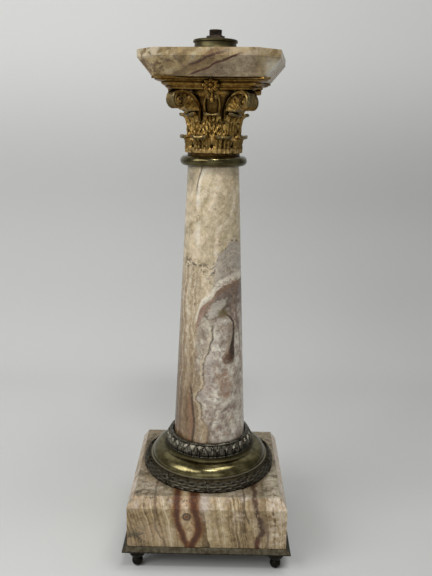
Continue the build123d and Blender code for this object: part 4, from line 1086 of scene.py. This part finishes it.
def fleuronForm():
    f = fleuron
    angle = np.radians(np.arange(f["spokes"]) * 360 / f["spokes"])
    petal = np.abs(np.cos(f["petals"] * angle / 2))
    edge = f["ring"] + f["petal"] * petal**0.5
    rim = ((1.0, f["back"] - f["front"]), (1.0, f["rim"][0]), (0.99, f["rim"][1]))
    rings = [(edge * share, np.full(f["spokes"], depth)) for share, depth in rim]
    for share in np.linspace(0.96, 0.0, 20):
        radius = edge * share
        rise = np.sin(math.pi * np.clip((share - 0.3) / 0.75, 0, 1)) * (0.45 + 0.55 * petal)
        rise = rise - f["groove"] * np.exp(-(((petal - 1) / f["grooveHalf"]) ** 2)) * (0.4 < share < 0.85)
        boss = f["bossRise"] * np.sqrt(np.clip(1 - (radius / f["boss"]) ** 2, 0, 1))
        rings.append((radius, np.maximum(rise, boss)))
    flower = []
    for radius, rise in rings:
        wide, tall = f["wide"] * radius * np.sin(angle), f["tall"] * radius * np.cos(angle)
        flower.append(np.stack([f["front"] + rise, wide, f["z"] + tall], -1))
    pendant = circles([(radius, f["z"] - down) for down, radius in f["pendant"]], 20)
    drop = [np.stack([f["pendantReach"] + x, y, z], -1) for x, y, z in pendant]
    return together(skin(flower), skin(drop))


fit(
    ringOf("fleurons", fleuronForm(), "gilt_bronze", 4, capitalTurn - 90),
    "capital", "gilt_bronze", "fleuron_front", "fleuron_right", "fleuron_back", "fleuron_left",
)

# the leaf band round the foot of the column
bandFoot = low("leaf_band")
leafBand = {
    "count": 32, "steps": 22, "rows": 38, "bore": 32.1, "height": 10.9, "rim": 35.0, "tip": 8.9, "shoulder": 3.6,
    "side": [(0.0, 37.4), (3.8, 38.2), (8.6, 36.1)],  # height above the foot, radius
    # out from the rim and up from the tips, then out from the rim and down from the top
    "overTips": [(-0.7, 0.15), (-0.1, 0.4), (0.15, 0.8)], "lip": [(0.15, 0.5), (-0.25, 0.1), (-0.8, 0.0)],
    # widths are shares of a leaf's width, heights are mm
    "halfLeaf": 0.475, "soft": 0.045, "sunk": 1.35, "edge": 0.6, "edgeAt": 0.8, "edgeHalf": 0.06,
    "rib": 0.6, "ribHalf": 0.055, "vein": 0.16, "footHeight": 0.45,
}


def bandForm():
    # a ring of upright pointed leaves with raised edges, and a plain rim above them
    b = leafBand
    around = np.arange(b["count"] * b["steps"])
    part = np.abs((around / b["steps"]) % 1.0 - 0.5)
    angle = np.radians(around * 360 / (b["count"] * b["steps"]))
    curve = np.polyfit(*zip(*b["side"]), 2)
    rings = []

    def ring(radius, height):
        radius = np.broadcast_to(radius, angle.shape)
        level = np.full(len(around), bandFoot + height)
        rings.append(np.stack([radius * np.cos(angle), radius * np.sin(angle), level], -1))

    ring(b["side"][0][1] - 0.5, 0.0)
    for height in np.linspace(0.15, b["tip"], b["rows"]):
        width = b["halfLeaf"] * (1 - rising(height, b["shoulder"], b["tip"]) ** 1.8)
        inside = np.clip((width - part) / b["soft"], 0, 1)
        edge = np.exp(-(((part - width * b["edgeAt"]) / b["edgeHalf"]) ** 2))
        rib = np.exp(-((part / b["ribHalf"]) ** 2))
        veins = np.cos(2 * math.pi * (height * 0.9 - part * 5.0))
        carved = (b["sunk"] - 0.55 + b["edge"] * edge + b["rib"] * rib + b["vein"] * veins) * inside
        foot = math.exp(-((height / b["footHeight"]) ** 2))
        ring(np.maximum(np.polyval(curve, height) - b["sunk"] + carved + foot, b["rim"] - 0.8), height)
    for out, up in b["overTips"]:
        ring(b["rim"] + out, b["tip"] + up)
    for out, down in b["lip"]:
        ring(b["rim"] + out, b["height"] - down)
    for radius, height in ((b["bore"] + 0.4, b["height"]), (b["bore"], b["height"] - 0.5), (b["bore"], 0.0)):
        ring(radius, height)
    return skin(rings, capped=False, along=True)


fit(build("leafBand", bandForm(), "dark_bronze"), "root", "dark_bronze", "leaf_band")

# the wreath round the base torus: a roll of overlapping laurel leaves, bound with crossed ribbons
wreathFoot, wreathTop = low("wreath_ring"), high("wreath_ring")
wreath = {
    "centre": 51.8, "widest": 4.5, "out": 5.4, "up": 5.6, "bore": 49.5, "foot": 56.3, "bindings": 10,
    # the leaves: angles up the section in radians, then lengths round the ring in degrees
    "rows": (-0.46, -0.12, 0.22, 0.56, 0.88), "half": 0.19, "length": 15.5, "pitch": 9.0, "leaves": 4, "stagger": 0.4,
    "leafRows": 13, "leafColumns": 9, "tipLift": 0.5, "baseLift": 0.1, "crown": 0.4, "rib": 0.28, "ribHalf": 0.16,
    "skew": 0.05, "under": -0.8,
    # the roll under them: angles up the section, and how far it lies inside the solid, less near its top
    "from": -0.45, "to": 1.42, "steps": 22, "inside": -0.35, "topFrom": 1.2, "topInside": -0.15,
    # a ribbon: degrees that it leans to either side and is wide to either side, and its height over its width
    "lean": 3.6, "ribbon": 0.95, "across": (-1, -0.6, 0, 0.6, 1, 1, -1),
    "lift": (0.7, 0.95, 0.75, 0.95, 0.7, -0.7, -0.7), "over": 0.15,
}


def wreathPoint(angle, side, lift):
    # on the roll: side is the angle up its section from the outside, lift is above its surface
    r = wreath["centre"] + (wreath["out"] + lift) * np.cos(side)
    z = wreathFoot + wreath["widest"] + (wreath["up"] + lift) * np.sin(side)
    return np.stack([r * np.cos(angle), r * np.sin(angle), z], -1)


def wreathRoll():
    section = [(wreath["bore"], wreathTop), (wreath["bore"], wreathFoot), (wreath["foot"], wreathFoot)]
    for side in np.linspace(wreath["from"], wreath["to"], wreath["steps"]):
        r, _, z = wreathPoint(0.0, side, wreath["inside"] if side < wreath["topFrom"] else wreath["topInside"])
        section.append((r, z))
    return lathe(section, 240)


def laurelLeaf(side, start):
    # a leaf pointed at both ends lying along the roll, its midrib proud and its tip lifted off the next one
    w = wreath
    v, u = np.meshgrid(np.linspace(0, 1, w["leafRows"]), np.linspace(-1, 1, w["leafColumns"]), indexing="ij")
    width = w["half"] * np.sin(math.pi * np.clip(0.04 + 0.93 * v, 0, 1)) ** 0.8
    angle = start + math.radians(w["length"]) * v
    lift = w["baseLift"] + w["tipLift"] * v**1.3 - w["crown"] * u**2 * (1 - 0.3 * v)
    lift = lift + w["rib"] * np.exp(-((u / w["ribHalf"]) ** 2))
    up = side + u * width + w["skew"] * (v - 0.5)
    top, base = wreathPoint(angle, up, lift), wreathPoint(angle, up, np.full_like(lift, w["under"]))
    return skin(np.concatenate([top, base[:, ::-1]], axis=1))


def wreathSpan():
    # the leaves between two bindings, the first and last of which lie under a binding
    parts = []
    for row, side in enumerate(wreath["rows"]):
        first = (row % 2) * wreath["pitch"] / 2 + row * wreath["stagger"]
        parts += [laurelLeaf(side, math.radians(i * wreath["pitch"] + first)) for i in range(wreath["leaves"])]
    return together(*parts)


def binding():
    # two flat ribbons that cross over the roll
    parts = []
    across, lift = np.array(wreath["across"]) * math.radians(wreath["ribbon"]), np.array(wreath["lift"])
    for lean in (1, -1):
        rings = []
        for t in np.linspace(0, 1, 25):
            middle = math.radians(wreath["lean"]) * lean * (2 * t - 1)
            over = wreath["over"] if lean > 0 else 0.0
            rings.append(wreathPoint(middle + across, np.full(len(across), -0.55 + 1.8 * t), lift + over))
        parts.append(skin(rings))
    return together(*parts)


roll = build("wreathRoll", wreathRoll(), "dark_bronze")
laurel = ringOf("laurelLeaves", wreathSpan(), "dark_bronze", wreath["bindings"], 0.0)
ribbons = ringOf("ribbons", binding(), "dark_bronze", wreath["bindings"], 180 / wreath["bindings"])
fit(merged("wreath", roll, laurel, ribbons), "root", "dark_bronze", "wreath_ring")

tube = {
    "radius": 5.15, "root": 4.55, "bore": 3.6, "pitch": 0.94, "perPitch": 8, "threadFrom": 416.0, "steps": 48,
    "chamfer": 0.3, "chamferUp": 0.4, "topChamfer": 0.5, "runIn": 2.0, "runOut": 0.6,
}


def threadedTube():
    t = tube
    bottom, top, start = low("centre_tube"), high("centre_tube"), t["threadFrom"]
    bore, radius, depth = t["bore"], t["radius"], t["radius"] - t["root"]
    foot = [(bore, bottom), (radius - t["chamfer"], bottom), (radius, bottom + t["chamferUp"]), (radius, start)]
    share = np.arange(t["steps"]) / t["steps"]
    angle = share * math.tau
    rings = [np.stack(ring, -1) for ring in circles(foot, t["steps"])]
    for i in range(1, int((top - start) / t["pitch"] * t["perPitch"])):
        z = start + i * t["pitch"] / t["perPitch"]
        ease = max(min(1.0, (z - start) / t["runIn"], (top - z) / t["runOut"]), 0.0)
        wave = np.abs(((z / t["pitch"] - share) % 1.0) * 2 - 1)
        reach = radius - depth * np.clip(wave * 1.25 - 0.1, 0, 1) * ease
        rings.append(np.stack([reach * np.cos(angle), reach * np.sin(angle), np.full(t["steps"], z)], -1))
    rings += [np.stack(ring, -1) for ring in circles([(radius - t["topChamfer"], top), (bore, top)], t["steps"])]
    return skin(rings, capped=False, along=True)


fit(build("threadedTube", threadedTube(), "aged_steel"), "root", "aged_steel", "centre_tube")

camera = {"place": (0.00606, -0.54968, 0.36279), "lens": 41.38, "turns": (76.277, -1.006, 0.477)}
eye = bpy.data.cameras.new("camera")
eye.lens = camera["lens"]
eye.sensor_width = 36.0
eye.clip_start = 0.01
viewer = bpy.data.objects.new("camera", eye)
scene.collection.objects.link(viewer)
viewer.location = camera["place"]
viewer.rotation_euler = [math.radians(turn) for turn in camera["turns"]]
scene.camera = viewer

# the backdrop, in metres: a floor that sweeps up into a wall
studio = {
    "near": -3.0, "wall": 0.6, "sweep": 0.25, "half": 2.6, "height": 2.4, "steps": 12, "grey": (0.60, 0.605, 0.59),
    "bendShadeAt": 190.0, "bendShadeHalf": 320.0,  # mm up the sheet
}
bendStart = studio["wall"] - studio["sweep"]
bends = [math.radians(step * 90 / studio["steps"]) for step in range(studio["steps"] + 1)]
profile = [(bendStart + studio["sweep"] * math.sin(a), studio["sweep"] * (1 - math.cos(a))) for a in bends]
profile = [(studio["near"], 0.0), *profile, (studio["wall"], studio["height"])]
corners = [(side * studio["half"], y, z) for y, z in profile for side in (-1, 1)]
faces = [(2 * i, 2 * i + 1, 2 * i + 3, 2 * i + 2) for i in range(len(profile) - 1)]
sheet = bpy.data.meshes.new("backdrop")
sheet.from_pydata(corners, [], faces)
sheet.shade_smooth()
backdrop = bpy.data.objects.new("backdrop", sheet)
scene.collection.objects.link(backdrop)
paper = Finish("paper")
# painted shade: the sheet is painted a little darker where it curves up, and to the right
darker = (paper.z - studio["bendShadeAt"]).near(studio["bendShadeHalf"]) * 0.2 + paper.x.fade(-260.0, 420.0) * 0.14
paper.colour = paper.mix(darker, studio["grey"], (0.0, 0.0, 0.0))
sheet.materials.append(paper.made(Roughness=paper.noise(90) * 0.1 + 0.85, Specular_IOR_Level=0.1))
# a camera behind the sheet looks through it, so the back of the lamp can be seen
tree = paper.tree
clear, blend = tree.nodes.new("ShaderNodeBsdfTransparent"), tree.nodes.new("ShaderNodeMixShader")
behind = Field(tree, tree.nodes.new("ShaderNodeNewGeometry").outputs["Backfacing"])
behind = behind * Field(tree, tree.nodes.new("ShaderNodeLightPath").outputs["Is Camera Ray"])
surface = next(node for node in tree.nodes if node.type == "OUTPUT_MATERIAL").inputs["Surface"]
solid = surface.links[0].from_socket
plug(tree, behind, blend.inputs[0])
tree.links.new(solid, blend.inputs[1])
tree.links.new(clear.outputs[0], blend.inputs[2])
tree.links.new(blend.outputs[0], surface)

lamps = {
    "window": {"place": (-1.25, -0.75, 1.15), "size": (0.8, 1.1), "power": 13.5},
    "windowNear": {"place": (-0.8, -1.15, 1.2), "size": (0.6, 0.4), "power": 5.0},
    "ceiling": {"place": (0.12, -0.85, 1.55), "size": (0.28, 0.16), "power": 6.8},
    "room": {"place": (0.1, -1.6, 0.3), "size": (1.6, 0.6), "power": 2.5},
    "ceilingRight": {"place": (0.5, -0.3, 1.7), "size": (0.7, 0.5), "power": 7.0},
}
lampAim = Vector((0.0, 0.0, 0.2))
for name, lamp in lamps.items():
    light = bpy.data.lights.new(name, "AREA")
    light.shape = "RECTANGLE"
    light.size, light.size_y = lamp["size"]
    light.energy = lamp["power"]
    holder = bpy.data.objects.new(name, light)
    holder.location = lamp["place"]
    holder.rotation_euler = (lampAim - holder.location).to_track_quat("-Z", "Y").to_euler()
    scene.collection.objects.link(holder)
world = bpy.data.worlds.new("room")
world.use_nodes = True
for socket, value in (("Color", (1, 1, 1, 1)), ("Strength", 0.33)):
    world.node_tree.nodes["Background"].inputs[socket].default_value = value
scene.world = world
scene.view_settings.view_transform = "Standard"
print("studio ready")
